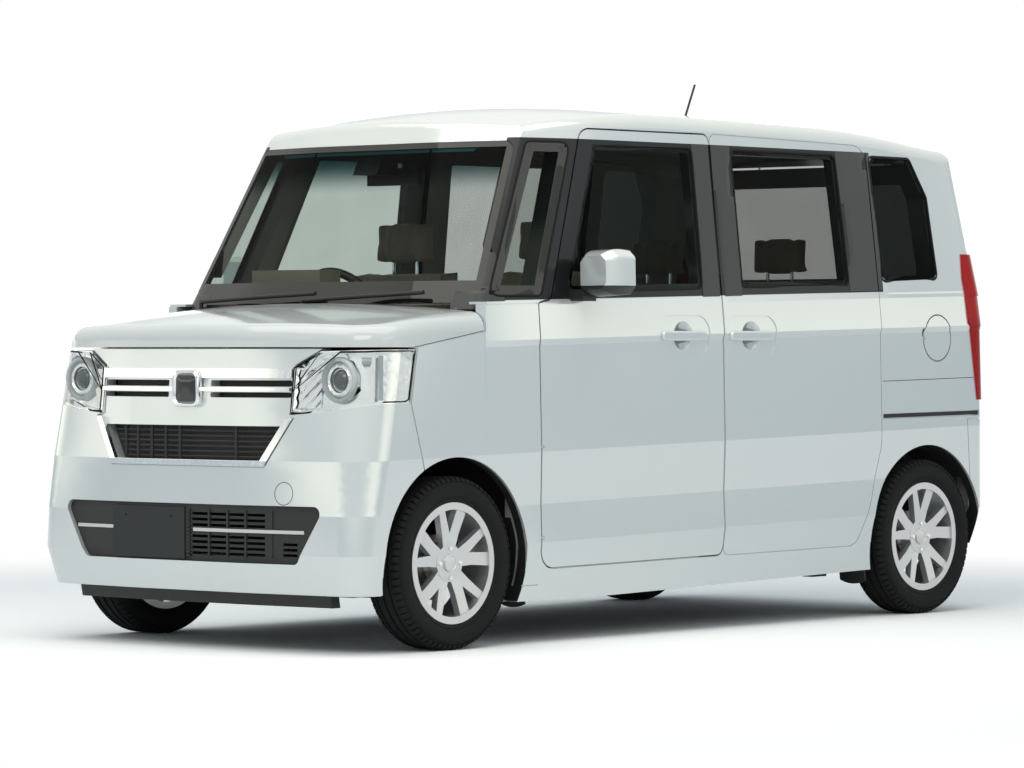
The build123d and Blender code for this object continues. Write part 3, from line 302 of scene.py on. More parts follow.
def black_areas(look, mirror):
    """1 on unpainted plastic: inside the wheel arches, or a mirror's arm and lower edge."""
    aside = look.math("ABSOLUTE", look.axis("Y"))
    if mirror:
        low = look.math("LESS_THAN", look.axis("Z"), MIRROR_FOOT)
        return look.math("MAXIMUM", low, look.math("LESS_THAN", aside, MIRROR_ARM))
    axle_height = AXLES["road_wheel_front_left"].z
    up = look.math("POWER", look.math("SUBTRACT", look.axis("Z"), axle_height), 2.0)
    found = 0.0
    for axle, arch in ARCHES:
        along = look.math("POWER", look.math("SUBTRACT", look.axis("X"), axle), 2.0)
        inside = look.math("LESS_THAN", look.math("ADD", along, up), arch * arch)
        found = look.math("MAXIMUM", inside, found)
    return look.math("MULTIPLY", found, look.math("LESS_THAN", aside, HALF - 0.013))


def window_surround(look):
    """1 on the black frames of the side windows: from belt line to roof rail, ahead of the quarter."""
    height = look.axis("Z")
    along = look.axis("X")
    belt = look.math("ADD", height, look.math("MULTIPLY", along, BELT_SLOPE))
    above = look.math("GREATER_THAN", belt, BELT)
    below = look.math("LESS_THAN", height, RAIL)
    ahead = look.math("GREATER_THAN", along, DOOR_REAR - 0.028)
    return look.math("MULTIPLY", look.math("MULTIPLY", above, below), ahead)


def moulded(name, colour, rough=(0.45, 0.6), grain=900.0, depth=0.25, **sockets):
    """Moulded plastic with an even fine grain."""
    look = Look(name, **sockets)
    pebble = look.noise(grain, 2.0)
    look.tones(look.noise(6.0), rgba(colour, 0.9), rgba(colour, 1.1))
    look.roughness(pebble, *rough)
    look.bump(pebble, depth, 0.0004)
    return look.material


def bright(name, colour, rough=(0.05, 0.11), brushed=(1.0, 1.0, 1.0)):
    """Plated or painted metal."""
    look = Look(name, metal=1.0)
    streak = look.noise(70.0, 3.0, brushed)
    look.tones(streak, rgba(colour, 0.94), rgba(colour, 1.04))
    look.roughness(streak, *rough)
    look.bump(look.noise(300.0, 1.0, brushed), 0.01)
    return look.material


def pane(name, tint, screen=False, dark_behind=None):
    """Flat glass: clear straight through with a tint, and a mirror by angle on the outer face."""
    look = Look(name, colour=(0.01, 0.012, 0.012, 1.0))
    dust = look.noise(9.0, 3.0)
    look.roughness(dust, 0.008, 0.03)
    shade = look.mix(dust, rgba(tint, 0.97), rgba(tint, 1.02))
    if screen:
        shade = look.mix(look.ramp(look.axis("Z"), *SHADE_BAND), shade, (0.10, 0.20, 0.21, 1.0))
    if dark_behind is not None:
        back = look.math("LESS_THAN", look.axis("X"), dark_behind)
        shade = look.mix(back, shade, (0.16, 0.175, 0.17, 1.0))
    through = look.add("ShaderNodeBsdfTransparent", {"Color": shade}).outputs[0]
    mirror = look.add("ShaderNodeFresnel", {"IOR": 1.5}).outputs[0]
    front = look.rest(look.add("ShaderNodeNewGeometry").outputs["Backfacing"])
    share = look.math("MULTIPLY", look.math("ADD", mirror, 0.02), front)
    if screen:
        share = look.math("MAXIMUM", share, screen_border(look))
    look.show(look.blend(share, through, look.surface.outputs[0]))
    return look.material


def screen_border(look):
    """1 on the black band round the windscreen, whose edges lean in towards the roof."""
    height = look.axis("Z")
    half = look.ramp(height, *SCREEN_HEIGHTS, *CLEAR_HALVES, smooth=False)
    outside = look.math("GREATER_THAN", look.math("ABSOLUTE", look.axis("Y")), half)
    low = look.math("LESS_THAN", height, CLEAR_LOW)
    high = look.math("GREATER_THAN", height, CLEAR_HIGH)
    return look.math("MAXIMUM", look.math("MAXIMUM", outside, low), high)


def lamp_red(name):
    """Red lens with fine upright flutes, and a painted highlight: lighter red towards its top."""
    red = paint_settings().lamp
    look = Look(name, coat=0.03, coat_rough=0.04, shine=0.08)
    flute = look.wave(90.0, "Z")
    # Painted highlight: the lens turns a lighter red from 1.02 m up to 1.10 m and stays so above
    pale = look.ramp(look.axis("Z"), 1.02, 1.10)
    tone = look.mix(look.ramp(flute, 0.2, 0.8), rgba(red, 0.62), rgba(red, 1.0))
    look.join(look.mix(look.math("MULTIPLY", pale, 0.4), tone, (0.62, 0.02, 0.025, 1.0)), "colour")
    look.roughness(flute, 0.12, 0.2)
    look.bump(flute, 0.1, 0.0006)
    return look.material


def seat_cloth(name, colour):
    """Woven cloth with crossing threads, soft at its edge."""
    look = Look(name, sheen=0.35, sheen_rough=0.5, shine=0.25)
    warp = look.wave(420.0, "X")
    weft = look.wave(420.0, "DIAGONAL")
    weave = look.math("MULTIPLY", warp, weft)
    look.tones(look.math("ADD", look.math("MULTIPLY", weave, 0.5), look.noise(30.0, 3.0)),
               rgba(colour, 0.72), rgba(colour, 1.1))
    look.roughness(weave, 0.8, 0.95)
    look.bump(weave, 0.35, 0.0006)
    return look.material


def tyre_rubber(name):
    """Matt rubber, paler and drier in patches."""
    rubber = paint_settings().rubber
    look = Look(name, shine=0.15)
    patch = look.noise(14.0, 4.0)
    look.tones(patch, rgba(rubber, 1.6), rgba(rubber, 3.0))
    look.roughness(patch, 0.80, 0.92)
    look.bump(look.noise(700.0, 2.0), 0.12, 0.0005)
    return look.material


def silver_paint(name):
    """Silver wheel paint with flake under clear coat."""
    alloy = paint_settings().alloy
    look = Look(name, metal=0.75, coat=0.6, coat_rough=0.08)
    flake = look.noise(2200.0, 1.0)
    look.tones(flake, rgba(alloy, 0.9), rgba(alloy, 1.08))
    look.roughness(flake, 0.28, 0.4)
    look.bump(look.noise(400.0, 1.0), 0.01)
    return look.material


FINISHES = {
    "paint": lambda n: pearl_paint(n),
    # Painted light: the bonnet uses the body paint with almost no metal, so it shows more of its colour and
    # looks lighter than the rest of the body
    "paint_bonnet": lambda n: pearl_paint(n, metal=0.04),
    "paint_mirror": lambda n: pearl_paint(n, mirror=True),
    "paint_side": lambda n: pearl_paint(n, "Y"),
    "paint_roof": lambda n: pearl_paint(n, "Z"),
    "paint_tail": lambda n: pearl_paint(n, "X"),
    "satin_pillar": lambda n: moulded(n, paint_settings().pillar, (0.30, 0.42), 1500.0, 0.08),
    "black_plastic": lambda n: moulded(n, shaded("plastic", 1.6), (0.5, 0.65), shine=0.4),
    "gloss_black": lambda n: moulded(n, (0.006, 0.006, 0.007), (0.08, 0.14), 300.0, 0.02, coat=0.6),
    "seal_rubber": lambda n: moulded(n, paint_settings().rubber, (0.5, 0.7), 600.0, 0.15, shine=0.15),
    "chrome": lambda n: bright(n, (0.80, 0.81, 0.82)),
    "silver_bar": lambda n: bright(n, (0.55, 0.56, 0.57), (0.2, 0.3), (0.1, 0.1, 6.0)),
    "bowl": lambda n: bright(n, (0.90, 0.91, 0.92), (0.10, 0.2)),
    "plate": lambda n: moulded(n, (0.030, 0.033, 0.036), (0.45, 0.55), 500.0, 0.05, shine=0.25),
    "windscreen": lambda n: pane(n, (0.91, 0.94, 0.93), screen=True),
    "door_glass": lambda n: pane(n, (0.74, 0.78, 0.75)),
    "quarter_glass": lambda n: pane(n, (0.74, 0.78, 0.75), dark_behind=0.0),
    "privacy_glass": lambda n: pane(n, (0.68, 0.69, 0.68)),
    "lens": lambda n: pane(n, (0.96, 0.97, 0.97)),
    "lamp_red": lamp_red,
    "underbody": lambda n: moulded(n, (0.012, 0.012, 0.012), (0.7, 0.9), 120.0, 0.3),
    "cast_metal": lambda n: moulded(n, (0.16, 0.16, 0.165), (0.5, 0.7), 160.0, 0.4, metal=0.8),
    "exhaust_steel": lambda n: bright(n, (0.30, 0.285, 0.27), (0.3, 0.5), (8.0, 0.5, 0.5)),
    "cabin_plastic": lambda n: moulded(n, paint_settings().cabin, (0.6, 0.75), 700.0, 0.4),
    "grip": lambda n: moulded(n, (0.028, 0.026, 0.024), (0.45, 0.6), 500.0, 0.5),
    "seat_cloth": lambda n: seat_cloth(n, paint_settings().seat),
    "alloy": silver_paint,
    "tyre_rubber": tyre_rubber,
    "mirror_glass": lambda n: bright(n, (0.75, 0.78, 0.8), (0.01, 0.03)),
    "frosted": lambda n: moulded(n, (0.62, 0.66, 0.68), (0.25, 0.4), 400.0, 0.1, coat=0.5),
    "projector": lambda n: moulded(n, (0.10, 0.11, 0.12), (0.03, 0.06), 200.0, 0.01, coat=1.0,
                                   metal=0.6),
    "seat_piping": lambda n: moulded(n, shaded("seat", 0.45), (0.7, 0.85), 800.0, 0.3),
}


def finish(name):
    """The named material, made the first time that it is asked for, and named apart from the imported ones."""
    label = f"finish_{name}"
    return bpy.data.materials.get(label) or FINISHES[name](label)


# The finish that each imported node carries
CAD_FINISHES = {
    # The bonnet carries the lighter copy of the body paint, a painted light
    "paint_bonnet": ("bonnet",),
    "paint": ("front_fenders", "front_bumper", "front_grille", "rear_bumper", "fuel_flap"),
    "paint_mirror": ("door_mirror_left", "door_mirror_right"),
    "paint_side": ("front_door_left", "front_door_right", "sliding_doors", "side_frame_left",
                   "side_frame_right"),
    "paint_roof": ("roof_panel",),
    "paint_tail": ("tailgate",),
    "black_plastic": ("intake_grilles", "under_spoiler", "cowl", "wipers", "antenna", "inside_mirror"),
    "chrome": ("grille_trim",),
    "plate": ("number_plate",),
    "windscreen": ("windscreen",),
    "door_glass": ("front_door_glass_left", "front_door_glass_right"),
    "quarter_glass": ("quarter_glass",),
    "privacy_glass": ("sliding_door_glass", "tailgate_glass"),
    "lens": ("headlamp_lenses",),
    "bowl": ("headlamp_housings",),
    "lamp_red": ("tail_lamps",),
    "underbody": ("floor_pan", "front_structure", "front_subframe", "rear_axle", "fuel_tank", "radiator"),
    "cast_metal": ("engine", "knuckle_left", "knuckle_right"),
    "exhaust_steel": ("exhaust",),
    "seat_cloth": ("front_seats", "rear_seat"),
    "cabin_plastic": ("dashboard",),
    "grip": ("steering_wheel",),
    "alloy": tuple(f"wheel_{corner}" for corner in CORNERS),
    "tyre_rubber": tuple(f"tyre_{corner}" for corner in CORNERS),
}


# Mesh and node-tree helpers

class Skin:
    """The outside of some CAD nodes, seen along an axis."""

    def __init__(self, *names, sheet=None):
        points, faces = [list(part) for part in sheet or ((), ())]
        for name in names:
            mesh = NODES[name].data
            start = len(points)
            points.extend(v.co.copy() for v in mesh.vertices)
            faces.extend([start + i for i in p.vertices] for p in mesh.polygons)
        self.tree = BVHTree.FromPolygons(points, faces)

    def look(self, start, direction):
        """The first point along a line, or the nearest one where the line slips through a gap."""
        point, normal, _, _ = self.tree.ray_cast(Vector(start), Vector(direction))
        if point is None:
            point, normal, _, _ = self.tree.find_nearest(Vector(start) + Vector(direction) * 1.3)
        return point, normal

    def side(self, x, z, sign):
        """Where a line from that side at (x, z) meets the skin, and the way the skin faces."""
        return self.look((x, 2.0 * sign, z), (0.0, -sign, 0.0))

    def nose(self, y, z):
        return self.look((4.0, y, z), (-1.0, 0.0, 0.0))


def side_skin(side, sheet=None):
    """The doors, windows and frame of one side."""
    return Skin(f"front_door_{side}", f"front_door_glass_{side}", "sliding_doors", "sliding_door_glass",
                f"side_frame_{side}", "quarter_glass", sheet=sheet)


def piece(name, mesh, material, body, slot, smooth=True):
    """A new object that rides on a body, with one finish."""
    made = bpy.data.objects.new(name, mesh)
    bpy.context.scene.collection.objects.link(made)
    if material:
        mesh.materials.clear()
        mesh.materials.append(finish(material))
    if smooth:
        mesh.polygons.foreach_set("use_smooth", [True] * len(mesh.polygons))
        mesh.set_sharp_from_angle(angle=math.radians(40.0))
    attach(made, body)
    return made


def mesh_of(build):
    """A mesh from a function that fills a bmesh, with doubles merged and normals outward."""
    bm = bmesh.new()
    build(bm)
    bmesh.ops.remove_doubles(bm, verts=bm.verts, dist=1e-6)
    bmesh.ops.recalc_face_normals(bm, faces=bm.faces)
    mesh = bpy.data.meshes.new("shape")
    bm.to_mesh(mesh)
    bm.free()
    return mesh


def spread(ends, steps):
    """Even places from one end to the other, in that many steps."""
    return [ends[0] + (ends[1] - ends[0]) * step / steps for step in range(steps + 1)]


def grid(bm, rows, closed_rows=False, closed_columns=False):
    """Faces between rows of points."""
    verts = [[bm.verts.new(p) for p in row] for row in rows]
    last_row = len(rows) if closed_rows else len(rows) - 1
    columns = len(rows[0])
    last_column = columns if closed_columns else columns - 1
    for i in range(last_row):
        for j in range(last_column):
            a, b = verts[i], verts[(i + 1) % len(rows)]
            k = (j + 1) % columns
            bm.faces.new((a[j], a[k], b[k], b[j]))
    return verts


def capped(bm, loops):
    """A closed shape through loops of points, with a face at each end."""
    rows = grid(bm, loops, closed_columns=True)
    bm.faces.new(rows[0])
    bm.faces.new(rows[-1])


def lathe(bm, profile, centre, steps=64):
    """A profile of (radius, y) turned round an axle through centre along Y."""
    rows = []
    for step in range(steps):
        angle = 2.0 * math.pi * step / steps
        rows.append([centre + Vector((r * math.sin(angle), y, r * math.cos(angle))) for r, y in profile])
    grid(bm, rows, closed_rows=True)


def rounded(points, radius, steps=5):
    """A closed outline with its corners rounded, as a list of 2-D points."""
    result = []
    count = len(points)
    for i, corner in enumerate(points):
        corner = Vector(corner)
        before = (Vector(points[i - 1]) - corner).normalized()
        after = (Vector(points[(i + 1) % count]) - corner).normalized()
        turn = before.angle(after)
        reach = radius / math.tan(turn / 2)
        start, end = corner + before * reach, corner + after * reach
        for step in range(steps + 1):
            t = step / steps
            result.append(start * (1 - t) ** 2 + corner * 2 * t * (1 - t) + end * t * t)
    return result


def inset(points, by):
    """A closed outline moved inward; points run either way round."""
    count = len(points)
    area = sum(points[i - 1].x * points[i].y - points[i].x * points[i - 1].y for i in range(count))
    sign = 1.0 if area > 0 else -1.0
    result = []
    for i in range(count):
        run = (points[(i + 1) % count] - points[i - 1]).normalized()
        result.append(points[i] + Vector((-run.y, run.x)) * by * sign)
    return result


def plate_between(bm, near, far):
    """A closed thin plate between two like grids of points."""
    grid(bm, near)
    grid(bm, far)
    for i, j in ((0, None), (-1, None), (None, 0), (None, -1)):
        rim_near = near[i] if i is not None else [row[j] for row in near]
        rim_far = far[i] if i is not None else [row[j] for row in far]
        grid(bm, [rim_near, rim_far])


def plate(rows):
    """A closed thin plate from rows of (outer, inner) points."""
    near, far = [[[pair[layer] for pair in row] for row in rows] for layer in (0, 1)]
    return mesh_of(lambda bm: plate_between(bm, near, far))


def side_panel(skin, corners, sign, lift, thick=0.004, across=6, up=14):
    """A thin panel on the body side between (x, z) corners: low front, low rear, high rear, high front."""
    low_front, low_rear, high_rear, high_front = [Vector(c) for c in corners]
    rows = []
    for i in range(up + 1):
        a = low_front.lerp(high_front, i / up)
        b = low_rear.lerp(high_rear, i / up)
        spots = [a.lerp(b, j / across) for j in range(across + 1)]
        hits = [skin.side(spot.x, spot.y, sign) for spot in spots]
        rows.append([(point + normal * lift, point + normal * (lift - thick)) for point, normal in hits])
    return plate(rows)


def band(skin, outline, width, sign, lift):
    """A flat ring on a side window, as wide as width, just inside a closed (x, z) outline."""
    inner = inset(outline, width)

    def build(bm):
        rows = []
        for loop in (outline, inner):
            row = []
            for spot in loop:
                point, normal = skin.side(spot.x, spot.y, sign)
                row.append(point + normal * lift)
            rows.append(row)
        grid(bm, rows, closed_columns=True)
        for face in bm.faces:
            face.normal_update()

    mesh = mesh_of(build)
    if mesh.polygons[0].normal.y * sign < 0:
        mesh.flip_normals()
    return mesh


class Tree(NodeMaker):
    """A Geometry Nodes tree with named inputs, ending in Realize Instances and Set Material."""

    def __init__(self, name, **inputs):
        super().__init__(bpy.data.node_groups.new(name, "GeometryNodeTree"))
        self.sockets = {}
        face = self.tree.interface
        face.new_socket("Geometry", in_out="INPUT", socket_type="NodeSocketGeometry")
        for key, kind in {**inputs, "Finish": "NodeSocketMaterial"}.items():
            self.sockets[key] = face.new_socket(key, in_out="INPUT", socket_type=kind).identifier
        face.new_socket("Geometry", in_out="OUTPUT", socket_type="NodeSocketGeometry")
        self.start = self.tree.nodes.new("NodeGroupInput")
        self.end = self.tree.nodes.new("NodeGroupOutput")

    def close(self, geometry):
        whole = self.add("GeometryNodeRealizeInstances", {0: geometry})
        dressed = self.add("GeometryNodeSetMaterial",
                           {"Geometry": whole.outputs[0], "Material": self.start.outputs["Finish"]})
        self.tree.links.new(dressed.outputs[0], self.end.inputs[0])


def copies_round_axle():
    """Copies of the incoming shape, evenly turned about an axle along Y."""
    made = Tree("CopiesRoundAxle", Count="NodeSocketInt", Axle="NodeSocketVector")
    count = made.start.outputs["Count"]
    points = made.add("GeometryNodePoints", {"Count": count})
    index = made.add("GeometryNodeInputIndex")
    share = made.add("ShaderNodeMath", {0: index.outputs[0], 1: count}, operation="DIVIDE")
    angle = made.add("ShaderNodeMath", {0: share.outputs[0], 1: 2.0 * math.pi}, operation="MULTIPLY")
    turn = made.add("ShaderNodeCombineXYZ", {"Y": angle.outputs[0]})
    copies = made.add("GeometryNodeInstanceOnPoints",
                      {"Points": points.outputs[0], "Instance": made.start.outputs["Geometry"],
                       "Rotation": turn.outputs[0]})
    moved = made.add("GeometryNodeTransform",
                     {"Geometry": copies.outputs[0], "Translation": made.start.outputs["Axle"]})
    made.close(moved.outputs[0])
    return made


def copies_in_row():
    """Copies of the incoming shape, one step apart."""
    made = Tree("CopiesInRow", Count="NodeSocketInt", Step="NodeSocketVector")
    line = made.add("GeometryNodeMeshLine",
                    {"Count": made.start.outputs["Count"], "Offset": made.start.outputs["Step"]})
    copies = made.add("GeometryNodeInstanceOnPoints",
                      {"Points": line.outputs[0], "Instance": made.start.outputs["Geometry"]})
    made.close(copies.outputs[0])
    return made


def bead_on_path():
    """A round bead along the incoming curve."""
    made = Tree("BeadOnPath", Radius="NodeSocketFloat", Sides="NodeSocketInt")
    ring = made.add("GeometryNodeCurvePrimitiveCircle",
                    {"Resolution": made.start.outputs["Sides"], "Radius": made.start.outputs["Radius"]})
    bead = made.add("GeometryNodeCurveToMesh",
                    {"Curve": made.start.outputs["Geometry"], "Profile Curve": ring.outputs[0],
                     "Fill Caps": True})
    made.close(bead.outputs[0])
    return made


TREES = {}


def tree(make):
    """A node tree, made once."""
    if make not in TREES:
        TREES[make] = make()
    return TREES[make]


def evaluated(obj):
    """A new mesh of the object as its modifiers leave it."""
    graph = bpy.context.evaluated_depsgraph_get()
    return bpy.data.meshes.new_from_object(obj.evaluated_get(graph))


def grown(source, make, material, **inputs):
    """The plain mesh that a node tree makes from an object's data."""
    made = tree(make)
    seed = bpy.data.objects.new("seed", source)
    bpy.context.scene.collection.objects.link(seed)
    modifier = seed.modifiers.new("Grow", "NODES")
    modifier.node_group = made.tree
    for key, value in {**inputs, "Finish": finish(material)}.items():
        modifier[made.sockets[key]] = value
    mesh = evaluated(seed)
    seed.modifiers.clear()
    bpy.data.objects.remove(seed)
    return mesh


def path(points, closed=False):
    """A curve straight through the points."""
    curve = bpy.data.curves.new("path", "CURVE")
    curve.dimensions = "3D"
    line = curve.splines.new("POLY")
    line.points.add(len(points) - 1)
    for spot, point in zip(line.points, points):
        spot.co = (*point, 1.0)
    line.use_cyclic_u = closed
    return curve


def bead(points, radius, material, closed=False, sides=8):
    return grown(path(points, closed), bead_on_path, material, Radius=radius, Sides=sides)


def joined(meshes):
    """One mesh from several."""
    bm = bmesh.new()
    for mesh in meshes:
        bm.from_mesh(mesh)
    whole = bpy.data.meshes.new("joined")
    for material in meshes[0].materials:
        whole.materials.append(material)
    bm.to_mesh(whole)
    bm.free()
    return whole


# Plan sections of the cabin's front: height, then the turning points (x, y, radius), as in the part's source
CABIN_FRONT = [
    (1.112, [(FRONT_AXLE - 0.108, 0.330, 0.900), (FRONT_AXLE - 0.176, HALF - 0.070, 0.040),
             (FRONT_AXLE - 0.419, HALF - 0.018, 0.600), (DOOR_SEAM - 0.145, HALF - 0.013, 3.0)]),
    (1.830, [(FRONT_AXLE - 0.489, 0.300, 0.900), (FRONT_AXLE - 0.548, HALF - 0.184, 0.040),
             (FRONT_AXLE - 0.790, HALF - 0.113, 0.600), (DOOR_SEAM - 0.145, HALF - 0.088, 3.0)]),
]


def plan_section(z, turns, steps=10):
    """Points of one plan section from the car's middle to its side, on a plane that follows the rake."""
    corners = [Vector((turns[0][0], 0.0))] + [Vector(turn[:2]) for turn in turns]
    points, start = [], corners[0]
    for before, corner, after, turn in zip(corners, corners[1:], corners[2:], turns):
        into, out = (corner - before).normalized(), (after - corner).normalized()
        angle, radius = into.angle(out), turn[2]
        aside = (out - into * into.dot(out)).normalized()
        reach = radius * math.tan(angle / 2)
        arc_start = corner - into * reach
        points += [start.lerp(arc_start, step / steps) for step in range(steps)]
        for step in range(steps):
            part = angle * step / steps
            points.append(arc_start + into * radius * math.sin(part) + aside * radius * (1 - math.cos(part)))
        start = corner + out * reach
    points.append(start)
    return [Vector((p.x, p.y, z - p.x * BELT_SLOPE)) for p in points]


def cabin_front(rows=40):
    """The cabin's front and its corners as one ruled sheet, on both sides: points and faces."""
    low, high = [plan_section(*row) for row in CABIN_FRONT]
    points, faces = [], []
    for sign in (1.0, -1.0):
        base, width = len(points), len(low)
        for row in range(rows + 1):
            share = -0.05 + 1.0 * row / rows
            for a, b in zip(low, high):
                p = a.lerp(b, share)
                points.append(Vector((p.x, p.y * sign, p.z)))
        for row in range(rows):
            for i in range(width - 1):
                a = base + row * width + i
                quad = [a, a + 1, a + 1 + width, a + width]
                faces.append(quad if sign > 0 else quad[::-1])
    return points, faces


# Outlines of the windows in side view (x, z), as in the part's source
BELT_STEP = FRONT_AXLE - 0.472
WINDOWS = {
    "front_door": [(BELT_STEP - 0.084, 1.146), (FRONT_AXLE - 0.764, 1.634), (DOOR_SEAM + 0.088, 1.638),
                   (DOOR_SEAM + 0.094, 1.160)],
    "sliding_door": [(DOOR_SEAM - 0.114, 1.166), (DOOR_SEAM - 0.110, 1.638), (DOOR_REAR + 0.178, 1.638),
                     (DOOR_REAR + 0.166, 1.178)],
    "front_quarter": [(FRONT_AXLE - 0.222, 1.130), (FRONT_AXLE - 0.432, 1.130), (FRONT_AXLE - 0.662, 1.640),
                      (FRONT_AXLE - 0.494, 1.640)],
    "rear_quarter": [(DOOR_REAR - 0.026, 1.192), (DOOR_REAR - 0.020, 1.638), (DOOR_REAR - 0.286, 1.638),
                     (DOOR_REAR - 0.366, 1.500), (DOOR_REAR - 0.366, 1.204)],
}
WINDOW_ROUND = 0.028


class Dress:
    """What every operator here shares."""
    bl_options = {"REGISTER", "UNDO"}

    def execute(self, context):
        self.make(context.scene)
        return {"FINISHED"}


class KEI_OT_finishes(Dress, bpy.types.Operator):
    """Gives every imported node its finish"""
    bl_idname = "kei.finishes"
    bl_label = "Finishes"

    def make(self, scene):
        for name, nodes in CAD_FINISHES.items():
            for node in nodes:
                slots = NODES[node].data.materials
                slots.clear()
                slots.append(finish(name))


class KEI_OT_tyres(Dress, bpy.types.Operator):
    """Tyres with grooves, shoulder blocks and ribbed sidewalls"""
    bl_idname = "kei.tyres"
    bl_label = "Tyres"
    # The sidewall from the bead out: rise from the bead, and distance in from the tyre's side
    WALL = [(-0.014, 0.018), (0.0, 0.0175), (0.006, 0.010), (0.013, 0.0065), (0.0145, 0.0085), (0.018, 0.0055),
            (0.030, 0.0015), (0.045, 0.0), (0.056, 0.0015), (0.0575, 0.0035), (0.060, 0.0030)]
    GROOVE = 0.007

    def make(self, scene):
        trim = scene.kei_trim
        deep = trim.tread_depth
        for corner in CORNERS:
            low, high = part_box(f"tyre_{corner}")
            centre = (low + high) / 2
            radius = (high.z - low.z) / 2
            half = (high.y - low.y) / 2
            bead_r = radius - 0.083
            left = [(bead_r + up, half - out) for up, out in self.WALL]
            left += [(radius - 0.016, half - 0.0075 - deep), (radius - 0.006 - deep, half - 0.016 - deep),
                     (radius - deep, half - 0.030)]
            for groove in (0.032, 0.0):
                left += [(radius - 0.0004, groove + 0.011), (radius, groove + 0.0045),
                         (radius - self.GROOVE, groove + 0.004)]
                if groove:
                    left += [(radius - self.GROOVE, groove - 0.004), (radius, groove - 0.0045)]
            profile = left + [(r, -y) for r, y in reversed(left)]
            carcass = mesh_of(lambda bm: lathe(bm, profile, centre, 96))
            carcass.materials.append(finish("tyre_rubber"))
            block = mesh_of(lambda bm: shoulder_block(bm, radius, half, trim.shoulder_blocks))
            blocks = grown(block, copies_round_axle, "tyre_rubber", Count=trim.shoulder_blocks, Axle=centre)
            tyre = piece(f"tyre_tread_{corner}", joined([carcass, blocks]), None, f"road_wheel_{corner}",
                         "tyre_rubber")
            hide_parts(f"tyre_{corner}")


def shoulder_block(bm, radius, half, count):
    """A pair of blocks, one on each shoulder, at the top of the tyre."""
    swing = 0.36 * 2.0 * math.pi / count
    outline = [(radius, half - 0.030), (radius - 0.0006, half - 0.022), (radius - 0.006, half - 0.0125),
               (radius - 0.016, half - 0.0068), (radius - 0.018, half - 0.012), (radius - 0.008, half - 0.030)]
    for sign in (1.0, -1.0):
        rows = []
        for angle in (-swing, swing):
            lean = 0.012 * sign
            rows.append([Vector((r * math.sin(angle + lean), sign * y, r * math.cos(angle + lean)))
                         for r, y in outline])
        capped(bm, rows)


class KEI_OT_hubs(Dress, bpy.types.Operator):
    """Brake discs, wheel nuts and blank centre caps"""
    bl_idname = "kei.hubs"
    bl_label = "Hubs"
    # Profiles of (radius, distance out): the disc's from the wheel's middle, the cap's from the hub's face
    FACE = 0.050
    DISC = [(0.050, -0.030), (0.090, -0.030), (0.092, -0.026), (0.092, -0.012), (0.090, -0.008),
            (0.066, -0.008), (0.058, 0.003), (0.050, 0.003)]
    CAP = [(0.0005, 0.004), (0.020, 0.0035), (0.0235, 0.002), (0.0245, 0.0035), (0.0285, 0.003),
           (0.030, -0.004), (0.0005, -0.006)]
    NUT_CIRCLE = 0.047

    def make(self, scene):
        for corner in CORNERS:
            body = f"road_wheel_{corner}"
            centre = AXLES[body]
            out = SIDES[corner.split("_")[1]]
            disc = [(r, out * y) for r, y in self.DISC]
            cap = [(r, out * (self.FACE + y)) for r, y in self.CAP]
            piece(f"brake_disc_{corner}", mesh_of(lambda bm: lathe(bm, disc, centre)), "exhaust_steel", body,
                  "cast_metal")
            piece(f"centre_cap_{corner}", mesh_of(lambda bm: lathe(bm, cap, centre, 48)), "alloy", body,
                  "alloy")
            nuts = grown(mesh_of(lambda bm: self.nut(bm, out)), copies_round_axle, "chrome",
                         Count=scene.kei_trim.wheel_nuts, Axle=centre)
            piece(f"wheel_nuts_{corner}", nuts, None, body, "bright_trim", smooth=False)

    def nut(self, bm, out):
        """A six-sided nut at the top of the circle of nuts."""
        made = bmesh.ops.create_cone(bm, cap_ends=True, segments=6, radius1=0.0085, radius2=0.0072, depth=0.014)
        place = Matrix.Translation((0.0, out * (self.FACE - 0.003), self.NUT_CIRCLE))
        turn = Matrix.Rotation(-out * math.pi / 2, 4, "X")
        bmesh.ops.transform(bm, matrix=place @ turn, verts=made["verts"])


